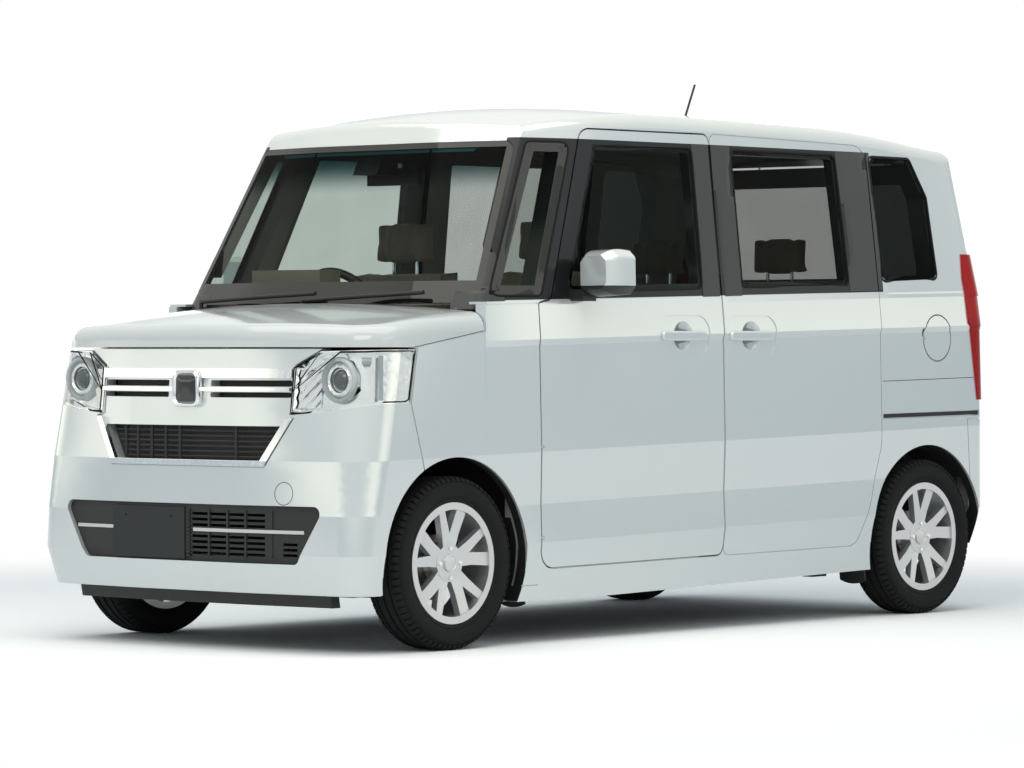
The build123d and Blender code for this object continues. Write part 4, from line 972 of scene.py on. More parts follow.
class KEI_OT_screen(Dress, bpy.types.Operator):
    """The windscreen down to its foot, and the feet of its pillars and of the front quarter glass"""
    bl_idname = "kei.screen"
    bl_label = "Windscreen"
    LOW, HIGH, ROUND = 1.108, 1.6416, 0.040
    FINE_STEP = 0.0025
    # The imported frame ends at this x; the pillar's foot has a low part and a part beside the quarter glass
    CAD_EDGE = 0.916
    FOOT_LOW, FOOT_MIDDLE, FOOT_HIGH = 1.086, 1.1335, 1.272
    FOOT_THICK = 0.012
    QUARTER_HEIGHTS = (1.1325, 1.242)

    def make(self, scene):
        self.skin = Skin(sheet=cabin_front())
        glass = piece("windscreen_glass", self.screen(), "windscreen", "body", "clear_glass")
        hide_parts("windscreen")
        for side, sign in SIDES.items():
            piece(f"pillar_foot_{side}", self.foot(sign), "satin_pillar", "body", "black_plastic")
            piece(f"quarter_foot_{side}", self.quarter(sign), "quarter_glass", "body", "clear_glass")

    def half(self, z):
        """Half the windscreen's width at a height, less its rounded corners."""
        (low, high), (wide, narrow) = SCREEN_HEIGHTS, SCREEN_HALVES
        half = wide + (narrow - wide) * (z - low) / (high - low)
        near = min(z - self.LOW, self.HIGH - z)
        if near < self.ROUND:
            half -= self.ROUND - math.sqrt(max(0.0, self.ROUND ** 2 - (self.ROUND - near) ** 2))
        return half

    def out(self, point, normal, lift, towards):
        """A point lifted off the sheet on its outer side."""
        return point + normal * (lift if normal.dot(towards) > 0 else -lift)

    def glazed(self, hits, towards):
        """A row of glass: points on the sheet and the same behind it."""
        return [(point, self.out(point, normal, -GLASS, towards)) for point, normal in hits]

    def screen(self, columns=48):
        straight = self.HIGH - self.LOW - 2 * self.ROUND
        heights = [self.LOW + self.FINE_STEP * step for step in range(16)]
        heights += [self.LOW + self.ROUND + straight * step / 40 for step in range(41)]
        heights += [self.HIGH - self.FINE_STEP * step for step in range(15, -1, -1)]
        rows = []
        for z in heights:
            places = [self.half(z) * (2 * step / columns - 1) for step in range(columns + 1)]
            rows.append(self.glazed([self.skin.nose(y, z) for y in places], Vector((1.0, 0.0, 0.0))))
        return plate(rows)

    def quarter_edge(self, z):
        """The front edge of the front quarter glass at a height."""
        return max(FRONT_AXLE - 0.222 - 0.272 * (z - 1.130) / 0.510, self.CAD_EDGE)

    def foot(self, sign, columns=12):
        """The corner between windscreen and quarter glass, from the fender up to where the frame begins."""
        parts = ((self.FOOT_LOW, self.FOOT_MIDDLE, lambda z: self.CAD_EDGE),
                 (self.FOOT_MIDDLE, self.FOOT_HIGH, self.quarter_edge))

        def build(bm):
            for low, high, rear in parts:
                near, far = [], []
                for z in spread((low, high), 14):
                    middle = Vector((0.80, 0.45 * sign, z))
                    back = self.skin.side(rear(z), z, sign)[0] - middle
                    front = self.skin.nose((self.half(z) if z > 1.15 else 0.560) * sign, z)[0] - middle
                    angles = [math.atan2(way.y * sign, way.x) for way in (back, front)]
                    ways = [Vector((math.cos(angle), math.sin(angle) * sign, 0.0))
                            for angle in spread(angles, columns)]
                    hits = [(*self.skin.look(middle, way), way) for way in ways]
                    near.append([self.out(point, normal, 0.0006, way) for point, normal, way in hits])
                    far.append([self.out(point, normal, -self.FOOT_THICK, way) for point, normal, way in hits])
                plate_between(bm, near, far)

        return mesh_of(build)

    def quarter(self, sign):
        """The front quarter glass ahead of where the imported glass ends."""
        rows = []
        for z in spread(self.QUARTER_HEIGHTS, 12):
            ends = (self.CAD_EDGE + 0.001, max(self.quarter_edge(z), self.CAD_EDGE + 0.002))
            hits = [self.skin.side(x, z, sign) for x in spread(ends, 6)]
            rows.append(self.glazed(hits, Vector((0.0, sign, 0.0))))
        return plate(rows)


class KEI_OT_pillars(Dress, bpy.types.Operator):
    """Satin panels between the side windows"""
    bl_idname = "kei.pillars"
    bl_label = "Pillar panels"

    def make(self, scene):
        gap, top = 0.0035, RAIL
        panels = {
            "door_rear": [(DOOR_SEAM + 0.097, 1.132), (DOOR_SEAM + gap + 0.004, 1.134), (DOOR_SEAM + gap, top),
                          (DOOR_SEAM + 0.090, top)],
            "sliding_front": [(DOOR_SEAM - gap, 1.134), (DOOR_SEAM - 0.114, 1.137), (DOOR_SEAM - 0.110, top),
                              (DOOR_SEAM - 0.007 - gap, top)],
            "sliding_rear": [(DOOR_REAR + 0.166, 1.156), (DOOR_REAR + gap, 1.160),
                             (DOOR_REAR + gap - 0.006, top), (DOOR_REAR + 0.178, top)],
            "quarter": [(DOOR_REAR - gap, 1.163), (DOOR_REAR - 0.028, 1.164), (DOOR_REAR - 0.024, top),
                        (DOOR_REAR - gap - 0.006, top)],
        }
        for side, sign in SIDES.items():
            door = f"front_door_{side}"
            skin = side_skin(side)
            for name, corners in panels.items():
                mesh = side_panel(skin, corners, sign, scene.kei_trim.panel_lift)
                body = door if name == "door_rear" else "body"
                piece(f"pillar_{name}_{side}", mesh, "satin_pillar", body, "black_plastic")


class KEI_OT_seals(Dress, bpy.types.Operator):
    """Rubber seals round the side windows and black bands on the front quarter glass"""
    bl_idname = "kei.seals"
    bl_label = "Window seals"

    def make(self, scene):
        radius = scene.kei_trim.seal
        for side, sign in SIDES.items():
            door = f"front_door_{side}"
            skin = side_skin(side, cabin_front())
            for name, outline in WINDOWS.items():
                loop = rounded(outline, WINDOW_ROUND)
                points = []
                for i, spot in enumerate(loop):
                    after = loop[(i + 1) % len(loop)]
                    for step in range(4):
                        at = spot.lerp(after, step / 4)
                        point, normal = skin.side(at.x, at.y, sign)
                        points.append(point - normal * radius * 0.55)
                body = door if name == "front_door" else "body"
                mesh = bead(points, radius, "seal_rubber", closed=True)
                piece(f"seal_{name}_{side}", mesh, None, body, "black_plastic")
                if name == "front_quarter":
                    ring = band(skin, loop, 0.034, sign, 0.0004)
                    piece(f"quarter_band_{side}", ring, "gloss_black", "body", "black_plastic")


def turned(bm, profile, centre, steps=48):
    """A closed profile of (radius, x) turned round an axis through centre along X."""
    rows = []
    for step in range(steps):
        angle = 2.0 * math.pi * step / steps
        rows.append([centre + Vector((x, r * math.sin(angle), r * math.cos(angle))) for r, x in profile])
    grid(bm, rows, closed_rows=True, closed_columns=True)


def nose_strip(skin, ends, heights, lift, thick, level, steps=16):
    """A thin bar across the nose between two y ends and two heights, as far out as the skin at a level."""
    rows = []
    for z in heights:
        row = []
        for y in spread(ends, steps):
            x = skin.nose(y, level)[0].x + lift
            row.append((Vector((x, y, z)), Vector((x - thick, y, z))))
        rows.append(row)
    return plate(rows)


class KEI_OT_front(Dress, bpy.types.Operator):
    """Louvres, silver bars, cover line and the blank badge of the grille"""
    bl_idname = "kei.front"
    bl_label = "Front trim"

    def make(self, scene):
        self.badge()
        self.intake()
        self.low_grille()
        self.tow_cover()

    def badge(self):
        spot = Skin("grille_trim", "front_grille").nose(0.0, 0.833)[0]

        def loops(bm, shapes):
            rows = []
            for grow, out in shapes:
                loop = rounded([(-grow, -grow * 0.93), (grow, -grow * 0.93), (grow * 0.94, grow * 0.96),
                                (-grow * 0.94, grow * 0.96)], grow * 0.40)
                rows.append([spot + Vector((out, p.x, p.y)) for p in loop])
            capped(bm, rows)

        # Half size and distance out, from the back to the front
        ring = [(0.062, -0.010), (0.062, 0.004), (0.059, 0.009), (0.052, 0.010), (0.048, 0.005),
                (0.047, 0.0015)]
        blank = [(0.046, 0.001), (0.046, 0.003), (0.043, 0.0042), (0.020, 0.0052)]
        piece("badge_ring", mesh_of(lambda bm: loops(bm, ring)), "chrome", "body", "bright_trim")
        piece("badge_blank", mesh_of(lambda bm: loops(bm, blank)), "gloss_black", "body", "black_plastic")

    def intake(self):
        """Slats across the intake, an upright divider on the left and a ladder of bars on the right."""
        back = Skin("intake_grilles")
        low, middle, high = 0.607, 0.66, 0.713
        slats = []
        for row in range(6):
            z = 0.617 + row * 0.0165
            half = 0.338 + (z - 0.604) / 0.112 * 0.074 - 0.036
            points = [Vector((back.nose(y, middle)[0].x + 0.020, y, z))
                      for y in [half * (step / 12 - 1) for step in range(25)]]
            slats.append(bead(points, 0.0036, "black_plastic", sides=6))
        for y in (0.205, -0.05, -0.115, -0.18, -0.245, -0.31):
            x = back.nose(y, middle)[0].x + 0.022
            points = [Vector((x, y, z)) for z in (low, middle, high)]
            slats.append(bead(points, 0.006, "black_plastic", sides=6))
        piece("intake_slats", joined(slats), None, "body", "black_plastic")

    def low_grille(self):
        """Silver bars either side of the plate, a column of teeth beside it and upright dividers."""
        skin = Skin("intake_grilles")
        level = 0.455
        bars = [nose_strip(skin, ends, (0.378, 0.389), 0.006, 0.010, level)
                for ends in ((0.035, 0.505), (-0.53, -0.345))]
        piece("silver_bars", joined(bars), "silver_bar", "body", "bright_trim")
        posts = [nose_strip(skin, (y - 0.004, y + 0.004), (0.300, 0.448), 0.004, 0.010, level, 2)
                 for y in (0.104, 0.187, 0.266, 0.372)]
        piece("low_posts", joined(posts), "black_plastic", "body", "black_plastic")
        tooth = nose_strip(skin, (0.002, 0.019), (0.0, 0.0065), 0.006, 0.012, level, 2)
        teeth = grown(tooth, copies_in_row, "black_plastic", Count=13, Step=(0.0, 0.0, 0.012))
        teeth.transform(Matrix.Translation((0.0, 0.0, 0.296)))
        piece("low_teeth", teeth, None, "body", "black_plastic", smooth=False)

    def tow_cover(self):
        skin = Skin("front_bumper")
        radius, steps = 0.036, 32
        ring = []
        for step in range(steps):
            angle = 2.0 * math.pi * step / steps
            point, normal = skin.nose(0.429 + radius * math.cos(angle), 0.505 + radius * math.sin(angle))
            ring.append(point - normal * 0.0006)
        piece("tow_cover_line", bead(ring, 0.0014, "seal_rubber", closed=True, sides=6), None, "body",
              "black_plastic")


class KEI_OT_headlamps(Dress, bpy.types.Operator):
    """Projectors, frosted rings, facets, light guides and black edges of the headlamps"""
    bl_idname = "kei.headlamps"
    bl_label = "Headlamps"
    LAMP_Y, LAMP_Z = 0.588, 0.862
    # Profiles of (radius, distance out) with their finishes and slots
    TURNED = {
        "ring": ([(0.058, -0.012), (0.058, 0.000), (0.062, 0.006), (0.069, 0.006), (0.073, 0.000),
                  (0.073, -0.012)], "frosted", "lamp_lens"),
        "steps": ([(0.036, -0.030), (0.037, -0.004), (0.040, 0.000), (0.042, -0.005), (0.046, -0.003),
                   (0.048, -0.009), (0.052, -0.005), (0.057, -0.010), (0.057, -0.030)], "bowl", "lamp_bowl"),
        "dome": ([(0.0004, 0.006), (0.012, 0.005), (0.022, 0.002), (0.030, -0.004), (0.0345, -0.012),
                  (0.0345, -0.020), (0.0004, -0.020)], "projector", "lamp_lens"),
    }

    def make(self, scene):
        lens = Skin("headlamp_lenses")
        for side, sign in SIDES.items():
            spot = lens.nose(self.LAMP_Y * sign, self.LAMP_Z)[0]
            face = Vector((spot.x - 0.020, self.LAMP_Y * sign, self.LAMP_Z))
            for name, (profile, material, slot) in self.TURNED.items():
                piece(f"lamp_{name}_{side}", mesh_of(lambda bm: turned(bm, profile, face)), material, "body",
                      slot)
            piece(f"lamp_facets_{side}", self.facets(lens, sign), "chrome", "body", "lamp_bowl", smooth=False)
            guide = [self.corner(lens, z, sign, 0.016) for z in [0.800 + 0.014 * step for step in range(11)]]
            piece(f"light_guide_{side}", bead(guide, 0.0075, "frosted"), None, "body", "lamp_lens")
            turn = [self.corner(lens, 0.925, sign, 0.018, reach) for reach in (0.03, 0.045, 0.06)]
            piece(f"turn_lamp_{side}", bead(turn, 0.011, "frosted"), None, "body", "lamp_lens")
            edge = bead(self.edge(lens, sign), 0.0026, "seal_rubber", closed=True, sides=6)
            piece(f"lamp_edge_{side}", edge, None, "body", "black_plastic")

    def facets(self, lens, sign):
        """A mirror of small leaning faces beside the projector, towards the grille."""
        rows = []
        for i in range(8):
            z = 0.772 + i * 0.0175
            row = []
            for j in range(6):
                y = (0.444 + j * 0.0145 + 0.05 * max(0.0, z - 0.89)) * sign
                deep = 0.020 + 0.006 * ((i + j) % 2) + 0.003 * j
                point = Vector((lens.nose(y, z)[0].x - deep, y, z))
                row.append((point, point - Vector((0.006, 0.0, 0.0))))
            rows.append(row)
        return plate(rows)

    def corner(self, lens, z, sign, deep, ahead=0.0):
        """A point behind the lens at the car's front corner."""
        way = Vector((-0.70, -0.71 * sign, 0.0))
        start = Vector((1.500 + ahead, 0.690 * sign - 0.6 * ahead * sign, z)) - way * 1.5
        point, normal = lens.look(start, way)
        return point - normal * deep

    def edge(self, lens, sign):
        """The outline of the lens: up its inner side, along the top, down the wing and back below."""
        points = []

        def ahead(y, z):
            points.append(lens.nose(y * sign, z)[0])

        def aside(x, z):
            points.append(lens.side(x, z, sign)[0])

        for z in (0.760, 0.800, 0.850, 0.901):
            ahead(0.4355, z)
        for share in (0.33, 0.66, 1.0):
            ahead(0.4355 + 0.090 * share, 0.901 + 0.0475 * share)
        for y in (0.56, 0.60, 0.64, 0.67):
            ahead(y, 0.9515)
        for x in (1.52, 1.47, 1.43, 1.386):
            aside(x, 0.9535)
        for z in (0.92, 0.88, 0.84, 0.80):
            aside(FRONT_AXLE + 0.239 - 0.064 * (z - 0.700) / 0.290, z)
        for x in (1.44, 1.48, 1.52):
            aside(x, 0.794)
        for y in (0.66, 0.61, 0.56):
            ahead(y, 0.765 + 0.16 * (y - 0.56))
        for y in (0.52, 0.48):
            ahead(y, 0.7605)
        return points


class KEI_OT_mirrors(Dress, bpy.types.Operator):
    """Mirror glass in the door mirrors"""
    bl_idname = "kei.mirrors"
    bl_label = "Mirrors"
    OUTLINE = [(0.770, 1.148), (0.768, 1.248), (0.786, 1.264), (0.872, 1.266), (0.884, 1.250), (0.886, 1.164),
               (0.872, 1.150)]

    def make(self, scene):
        outline = rounded(self.OUTLINE, 0.010, 4)
        layers = ((outline, -0.004), (outline, 0.0010), (inset(outline, 0.004), 0.0022))
        for side, sign in SIDES.items():
            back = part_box(f"door_mirror_{side}")[0].x
            loops = [[Vector((back - out, p.x * sign, p.y)) for p in loop] for loop, out in layers]
            piece(f"mirror_glass_{side}", mesh_of(lambda bm: capped(bm, loops)), "mirror_glass",
                  f"front_door_{side}", "bright_trim")


class KEI_OT_sides(Dress, bpy.types.Operator):
    """Rail strips, panel lines and mud flaps"""
    bl_idname = "kei.sides"
    bl_label = "Side trim"

    def make(self, scene):
        for side, sign in SIDES.items():
            skin = Skin(f"side_frame_{side}", "rear_bumper", "front_fenders", f"front_door_{side}")
            start, end = DOOR_REAR - 0.012, -1.636
            rail = [(start, 0.7065), (end, 0.7125), (end, 0.7260), (start, 0.7200)]
            piece(f"door_rail_{side}", side_panel(skin, rail, sign, 0.008, 0.008, 24, 2), "black_plastic",
                  "body", "black_plastic")
            line = [(DOOR_REAR - 0.010 - 0.046 * step, 0.838 + 0.0008 * step) for step in range(13)]
            points = []
            for x, z in line:
                point, normal = skin.side(x, z, sign)
                points.append(point - normal * 0.0006)
            piece(f"quarter_line_{side}", bead(points, 0.0013, "seal_rubber", sides=6), None, "body",
                  "black_plastic")
            for name, x in (("front", FRONT_AXLE - 0.352), ("rear", REAR_AXLE + 0.338)):
                piece(f"mud_flap_{name}_{side}", self.flap(x, sign), "black_plastic", "body", "black_plastic")

    def flap(self, x, sign):
        """A hanging sheet with a bowed lower edge."""
        rows = []
        for row in range(7):
            z = 0.118 + 0.022 * row
            back = 0.010 * (1.0 - row / 6) ** 2
            pairs = []
            for column in range(7):
                y = (0.590 + 0.0185 * column) * sign
                lift = 0.012 * (abs(column - 3) / 3) ** 2 if row == 0 else 0.0
                pairs.append([Vector((x + half - back, y, z + lift)) for half in (0.003, -0.003)])
            rows.append(pairs)
        return plate(rows)


# Soft forms of the seats in side view (x, z) with their y ends, the most that stuffing moves them, and a seam
SOFT = {
    "front_cushion": dict(outline=[(0.322, 0.512), (0.772, 0.492), (0.782, 0.632), (0.756, 0.672),
                                   (0.440, 0.654), (0.330, 0.640)],
                          y=(0.114, 0.546), cap=0.016, seam=("x", 0.700)),
    "front_back": dict(outline=[(0.286, 0.690), (0.400, 0.706), (0.336, 1.226), (0.250, 1.234), (0.254, 0.900)],
                       y=(0.114, 0.546), cap=0.015, seam=("z", 1.060)),
    "front_headrest": dict(outline=[(0.254, 1.262), (0.334, 1.262), (0.326, 1.388), (0.262, 1.388)],
                           y=(0.222, 0.438), cap=0.012, seam=None),
    "rear_cushion": dict(outline=[(-0.985, 0.470), (-0.494, 0.462), (-0.484, 0.604), (-0.512, 0.636),
                                  (-0.880, 0.628)],
                         y=(0.010, 0.488), cap=0.014, seam=("x", -0.600)),
    "rear_back": dict(outline=[(-1.030, 0.680), (-0.918, 0.662), (-0.998, 1.206), (-1.072, 1.206),
                               (-1.046, 0.720)],
                      y=(0.010, 0.488), cap=0.013, seam=("z", 1.040)),
    "rear_headrest": dict(outline=[(-1.068, 1.230), (-1.002, 1.230), (-1.010, 1.348), (-1.060, 1.348)],
                          y=(0.182, 0.388), cap=0.011, seam=None),
}
VOXEL = 0.011
PUFF_FRAMES = 20
PRESSURE = 4.0
# Stitched channels: share of the half width, half width of the channel, depth along and across
CHANNEL_AT, CHANNEL_WIDTH = 0.62, 0.011
CHANNEL_DEEP, SEAM_DEEP = 0.010, 0.009


def prism(bm, outline, ends):
    """A closed block of a side outline between two y ends."""
    capped(bm, [[Vector((x, y, z)) for x, z in outline] for y in ends])


def puffed(form, scene):
    """A stuffed form: remeshed finely, blown up as cloth, with each point's travel capped."""
    seed = bpy.data.objects.new("stuffing", mesh_of(lambda bm: prism(bm, form["outline"], form["y"])))
    scene.collection.objects.link(seed)
    remesh = seed.modifiers.new("Remesh", "REMESH")
    remesh.mode = "VOXEL"
    remesh.voxel_size = VOXEL
    seed.data = evaluated(seed)
    seed.modifiers.clear()
    rest = [v.co.copy() for v in seed.data.vertices]
    cloth = seed.modifiers.new("Cloth", "CLOTH")
    settings = cloth.settings
    settings.quality = 4
    settings.mass = 0.3
    settings.use_pressure = True
    settings.uniform_pressure_force = PRESSURE
    settings.effector_weights.gravity = 0.0
    cloth.point_cache.frame_start = 1
    cloth.point_cache.frame_end = PUFF_FRAMES
    for number in range(1, PUFF_FRAMES + 1):
        scene.frame_set(number)
    blown = evaluated(seed)
    seed.modifiers.clear()
    for spot, start, end in zip(seed.data.vertices, rest, blown.vertices):
        move = end.co - start
        spot.co = start + move * min(1.0, form["cap"] / max(move.length, 1e-9))
    scene.frame_set(1)
    mesh = seed.data.copy()
    bpy.data.objects.remove(seed)
    return mesh


def sewn(mesh, form):
    """Presses the stitched channels along a stuffed form, and the seam across it, into its surface."""
    low, high = form["y"]
    middle, half = (low + high) / 2, (high - low) / 2
    mesh.update()
    normals = [v.normal.copy() for v in mesh.vertices]
    for spot, normal in zip(mesh.vertices, normals):
        deep = 0.0
        for channel in (-CHANNEL_AT, CHANNEL_AT):
            away = (spot.co.y - middle - channel * half) / CHANNEL_WIDTH
            deep = max(deep, CHANNEL_DEEP * math.exp(-away * away))
        if form["seam"] and abs(spot.co.y - middle) < CHANNEL_AT * half:
            letter, at = form["seam"]
            away = (getattr(spot.co, letter) - at) / CHANNEL_WIDTH
            deep = max(deep, SEAM_DEEP * math.exp(-away * away))
        facing = max(0.0, 1.0 - abs(normal.y) * 1.6)
        spot.co -= normal * deep * facing
    return mesh


def seam_path(mesh, form, y):
    """A line round a form's side seam, on its surface."""
    tree = BVHTree.FromPolygons([v.co for v in mesh.vertices], [list(p.vertices) for p in mesh.polygons])
    outline = [Vector(p) for p in form["outline"]]
    points = []
    for i, spot in enumerate(outline):
        after = outline[(i + 1) % len(outline)]
        steps = max(2, int((after - spot).length / 0.03))
        for step in range(steps):
            at = spot.lerp(after, step / steps)
            point, normal, _, _ = tree.find_nearest(Vector((at.x, y, at.y)))
            points.append(point + normal * 0.0005)
    return points


class KEI_OT_seats(Dress, bpy.types.Operator):
    """Stuffed seat cushions, backs and headrests with channels, piping, plinths and posts"""
    bl_idname = "kei.seats"
    bl_label = "Seats"

    def make(self, scene):
        for name, form in SOFT.items():
            row = name.split("_")[0]
            node = "front_seats" if row == "front" else "rear_seat"
            mesh = sewn(puffed(form, scene), form)
            low, high = form["y"]
            for side, move in (("left", 0.0), ("right", -(low + high))):
                copy = mesh.copy()
                copy.transform(Matrix.Translation((0.0, move, 0.0)))
                copy.polygons.foreach_set("use_smooth", [True] * len(copy.polygons))
                made = piece(f"{name}_{side}", copy, "seat_cloth", "body", "seat_fabric", smooth=False)
                smooth = made.modifiers.new("Smooth", "SUBSURF")
                smooth.levels = smooth.render_levels = 1
                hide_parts(node)
                if "headrest" in name:
                    continue
                seams = [bead(seam_path(copy, form, y + move), 0.0032, "seat_piping", closed=True, sides=6)
                         for y in (low + 0.004, high - 0.004)]
                piece(f"{name}_piping_{side}", joined(seams), None, "body", "seat_fabric")
        self.plinths()

    def plinths(self):
        """Moulded bases under the cushions, and headrest posts."""
        bases = {
            "front_plinth_left": ((0.345, 0.700), (0.150, 0.510), (0.342, 0.500)),
            "front_plinth_right": ((0.345, 0.700), (-0.510, -0.150), (0.342, 0.500)),
            "rear_plinth": ((-0.950, -0.530), (-0.470, 0.470), (0.342, 0.470)),
        }
        for name, ends in bases.items():
            piece(name, mesh_of(lambda bm: box(bm, *ends, 0.012)), "cabin_plastic", "body", "cabin_plastic")
        posts = []
        for x, z, y in ((0.294, 1.215, 0.330), (-1.034, 1.190, 0.285)):
            for sign in (1.0, -1.0):
                for offset in (-0.055, 0.055):
                    spot = Vector((x, sign * (y + offset), z))
                    points = [spot + Vector((0.0, 0.0, rise)) for rise in (0.0, 0.04, 0.08)]
                    posts.append(bead(points, 0.006, "chrome"))
        piece("headrest_posts", joined(posts), None, "body", "bright_trim")


def box(bm, xs, ys, zs, round_by):
    """A block with rounded edges."""
    made = bmesh.ops.create_cube(bm, size=1.0)["verts"]
    for spot in made:
        spot.co = Vector([ends[0] + (ends[1] - ends[0]) * (value + 0.5)
                          for value, ends in zip(spot.co, (xs, ys, zs))])
    bmesh.ops.bevel(bm, geom=list(bm.edges), offset=round_by, segments=3, affect="EDGES", profile=0.5)


class KEI_OT_cabin(Dress, bpy.types.Operator):
    """Dials, screen, vents, heater panel and glove lid on the dashboard"""
    bl_idname = "kei.cabin"
    bl_label = "Dashboard"

    def make(self, scene):
        dash = Skin("dashboard")
        panels = {
            "dial_panel": ((-0.475, -0.185), (1.150, 1.212), "gloss_black"),
            "centre_screen": ((-0.105, 0.105), (1.000, 1.110), "gloss_black"),
            "vent_left": ((0.470, 0.580), (1.040, 1.100), "grip"),
            "vent_right": ((-0.615, -0.540), (1.040, 1.100), "grip"),
            "heater_panel": ((-0.100, 0.100), (0.900, 0.975), "satin_pillar"),
            "glove_lid": ((0.170, 0.560), (0.800, 0.930), "cabin_plastic"),
        }
        for name, (ys, zs, material) in panels.items():
            piece(name, self.panel(dash, ys, zs), material, "body", "cabin_plastic")

    def panel(self, skin, ys, zs):
        """A thin plate on the dashboard's cabin side."""
        rows = []
        for z in spread(zs, 4):
            hits = [skin.look((0.0, y, z), (1.0, 0.0, 0.0)) for y in spread(ys, 8)]
            rows.append([(point + normal * 0.003, point - normal * 0.002) for point, normal in hits])
        return plate(rows)


# What reflections see from the horizon to straight up: pale wall, bright strip, dimmer wall, soft box
REFLECTED_SKY = [(0.0, (0.56, 0.63, 0.68)), (0.045, (0.58, 0.65, 0.70)), (0.075, (1.75, 1.73, 1.50)),
                 (0.13, (1.65, 1.63, 1.44)), (0.17, (0.66, 0.71, 0.74)), (0.26, (0.98, 1.00, 0.98)),
                 (0.64, (1.22, 1.20, 1.08)), (1.0, (1.30, 1.28, 1.15))]
SKY_TINT = (0.84, 0.94, 1.0)
WHITE = (1.0, 1.0, 1.0, 1.0)
LAMP_COLOUR = (1.0, 0.97, 0.88)
# The front soft box's power, as a multiple of the side one's
FRONT_SHARE = 2.4
# The floor's radius, and the distances from the car between which it turns white
FLOOR_RADIUS = 60.0
FLOOR_FADE = (2.6, 5.5)


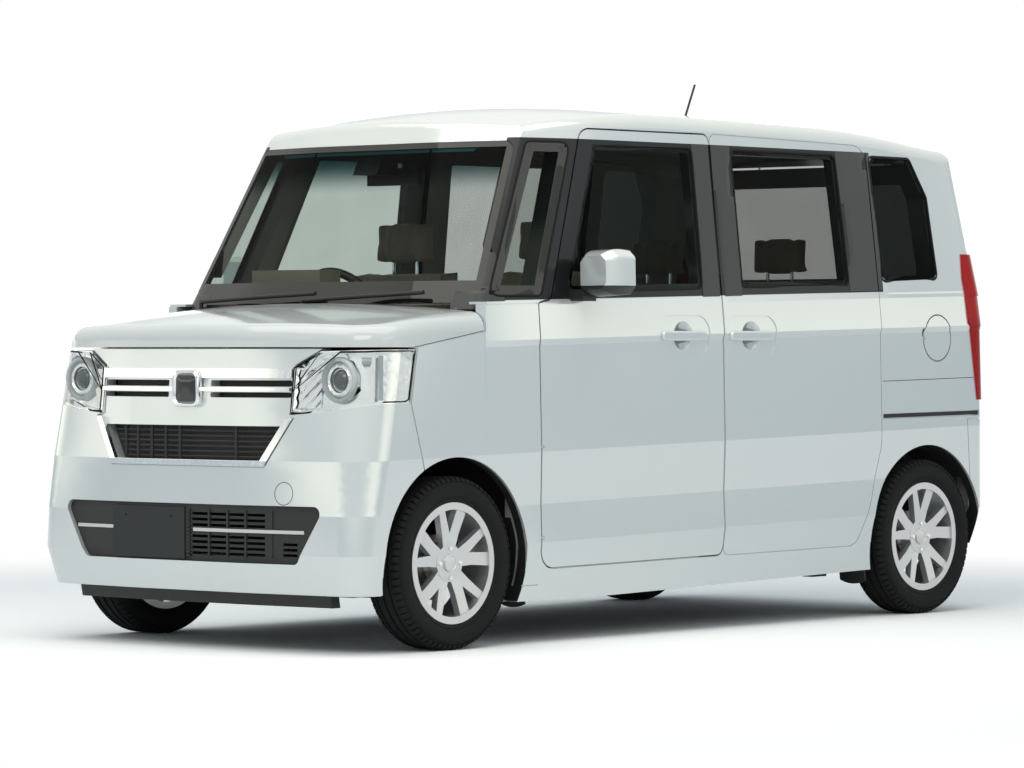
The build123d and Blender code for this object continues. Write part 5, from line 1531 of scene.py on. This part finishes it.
class KEI_OT_stage(Dress, bpy.types.Operator):
    """Camera, floor, soft boxes and sky"""
    bl_idname = "kei.stage"
    bl_label = "Stage"

    def make(self, scene):
        stage = scene.kei_stage
        self.camera(scene, stage)
        self.floor(scene, stage)
        self.lights(scene, stage)
        self.sky(scene, stage)
        scene.view_settings.view_transform = "Standard"

    def camera(self, scene, stage):
        data = bpy.data.cameras.new("Camera")
        data.sensor_width = 36.0
        data.lens = stage.lens
        data.clip_end = 200.0
        eye = bpy.data.objects.new("Camera", data)
        scene.collection.objects.link(eye)
        level_share = math.cos(stage.pitch)
        forward = Vector((math.cos(stage.yaw) * level_share, math.sin(stage.yaw) * level_share,
                          math.sin(stage.pitch)))
        right = Vector((math.sin(stage.yaw), -math.cos(stage.yaw), 0.0))
        up = right.cross(forward)
        level = right * math.cos(stage.roll) + up * math.sin(stage.roll)
        upright = up * math.cos(stage.roll) - right * math.sin(stage.roll)
        turn = Matrix((level, upright, -forward)).transposed().to_4x4()
        eye.matrix_world = Matrix.Translation(stage.eye) @ turn
        scene.camera = eye

    def floor(self, scene, stage):
        mesh = mesh_of(lambda bm: bmesh.ops.create_circle(bm, cap_ends=True, segments=96, radius=FLOOR_RADIUS))
        if mesh.polygons[0].normal.z < 0:
            mesh.flip_normals()
        floor = bpy.data.objects.new("floor", mesh)
        scene.collection.objects.link(floor)
        look = Look("studio_floor", rough=0.9, shine=0.1)
        look.tones(look.noise(3.0, 3.0), rgba(stage.floor, 0.99), rgba(stage.floor, 1.01))
        away = look.add("ShaderNodeVectorMath", {0: look.place}, operation="LENGTH").outputs["Value"]
        rays = look.add("ShaderNodeLightPath").outputs
        seen = look.math("MAXIMUM", rays["Is Camera Ray"], rays["Is Glossy Ray"])
        seen = look.math("MAXIMUM", seen, rays["Is Transmission Ray"])
        white = look.add("ShaderNodeEmission", {"Color": WHITE, "Strength": 1.0}).outputs[0]
        lit = look.add("ShaderNodeBsdfDiffuse", {"Color": (*[stage.floor_gain] * 3, 1.0)}).outputs[0]
        ground = look.blend(seen, look.surface.outputs[0], lit)
        far = look.math("MULTIPLY", look.ramp(away, *FLOOR_FADE), seen)
        look.show(look.blend(far, ground, white))
        mesh.materials.append(look.material)
        floor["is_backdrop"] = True

    def lights(self, scene, stage):
        boxes = {
            "overhead_box": ((1.2, 0.4, 4.6), (0.5, 0.0, 0.6), 6.0, 3.6, stage.key),
            "front_box": ((5.0, 2.4, 4.0), (1.3, 0.0, 0.9), 3.2, 2.2, FRONT_SHARE * stage.fill),
            "side_box": ((0.6, 7.0, 3.4), (-0.2, 0.4, 0.8), 4.5, 2.0, stage.fill),
        }
        for name, (spot, aim, wide, tall, power) in boxes.items():
            data = bpy.data.lights.new(name, "AREA")
            data.shape = "RECTANGLE"
            data.size, data.size_y = wide, tall
            data.energy = power
            data.color = LAMP_COLOUR
            lamp = bpy.data.objects.new(name, data)
            scene.collection.objects.link(lamp)
            lamp.location = spot
            lamp.rotation_euler = (Vector(aim) - Vector(spot)).to_track_quat("-Z", "Y").to_euler()

    def sky(self, scene, stage):
        """An even cool light, a white backdrop for the camera, and a studio for reflections."""
        world = bpy.data.worlds.new("studio_sky")
        scene.world = world
        world.use_nodes = True
        sky = NodeMaker(world.node_tree)
        rays = sky.add("ShaderNodeLightPath").outputs
        way = sky.add("ShaderNodeTexCoord").outputs["Generated"]
        height = sky.add("ShaderNodeSeparateXYZ", {"Vector": way}).outputs["Z"]
        tones = sky.add("ShaderNodeValToRGB", {"Fac": height})
        ramp = tones.color_ramp
        while len(ramp.elements) < len(REFLECTED_SKY):
            ramp.elements.new(0.5)
        for element, (place, colour) in zip(ramp.elements, REFLECTED_SKY):
            element.position, element.color = place, (*colour, 1.0)
        even = rgba(SKY_TINT, stage.sky)
        lit = sky.add("ShaderNodeMix", {0: rays["Is Glossy Ray"], 6: even, 7: tones.outputs[0]},
                      data_type="RGBA").outputs[2]
        straight = sky.add("ShaderNodeMath", {0: rays["Is Camera Ray"], 1: rays["Is Transmission Ray"]},
                           operation="MAXIMUM").outputs[0]
        both = sky.add("ShaderNodeMix", {0: straight, 6: lit, 7: WHITE}, data_type="RGBA").outputs[2]
        backdrop = world.node_tree.nodes["Background"].inputs["Color"]
        world.node_tree.links.new(both, backdrop)


OPERATORS = (KEI_OT_finishes, KEI_OT_tyres, KEI_OT_hubs, KEI_OT_screen, KEI_OT_pillars, KEI_OT_seals,
             KEI_OT_front, KEI_OT_headlamps, KEI_OT_mirrors, KEI_OT_sides, KEI_OT_seats, KEI_OT_cabin,
             KEI_OT_stage)


class KEI_PT_dressing(bpy.types.Panel):
    """Lists the settings and the steps that dress the car"""
    bl_label = "Kei Car"
    bl_idname = "KEI_PT_dressing"
    bl_space_type = "VIEW_3D"
    bl_region_type = "UI"
    bl_category = "Kei Car"

    def draw(self, context):
        for operator in OPERATORS:
            self.layout.operator(operator.bl_idname)
        for settings in (context.scene.kei_paint, context.scene.kei_trim, context.scene.kei_stage):
            box = self.layout.box()
            for name in settings.__annotations__:
                box.prop(settings, name)


SETTINGS = {"kei_paint": PaintSettings, "kei_trim": TrimSettings, "kei_stage": StageSettings}
CLASSES = (*SETTINGS.values(), *OPERATORS, KEI_PT_dressing)


def register():
    for kind in CLASSES:
        bpy.utils.register_class(kind)
    for name, kind in SETTINGS.items():
        setattr(bpy.types.Scene, name, PointerProperty(type=kind))


def unregister():
    for name in SETTINGS:
        delattr(bpy.types.Scene, name)
    for kind in reversed(CLASSES):
        bpy.utils.unregister_class(kind)


def main():
    register()
    for operator in OPERATORS:
        group, name = operator.bl_idname.split(".")
        getattr(getattr(bpy.ops, group), name)()
    boxes = {"cad": CAD_BOX, "visual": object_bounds()}
    {name: [list(low), list(high)] for name, (low, high) in boxes.items()}


if __name__ == "__main__":
    main()
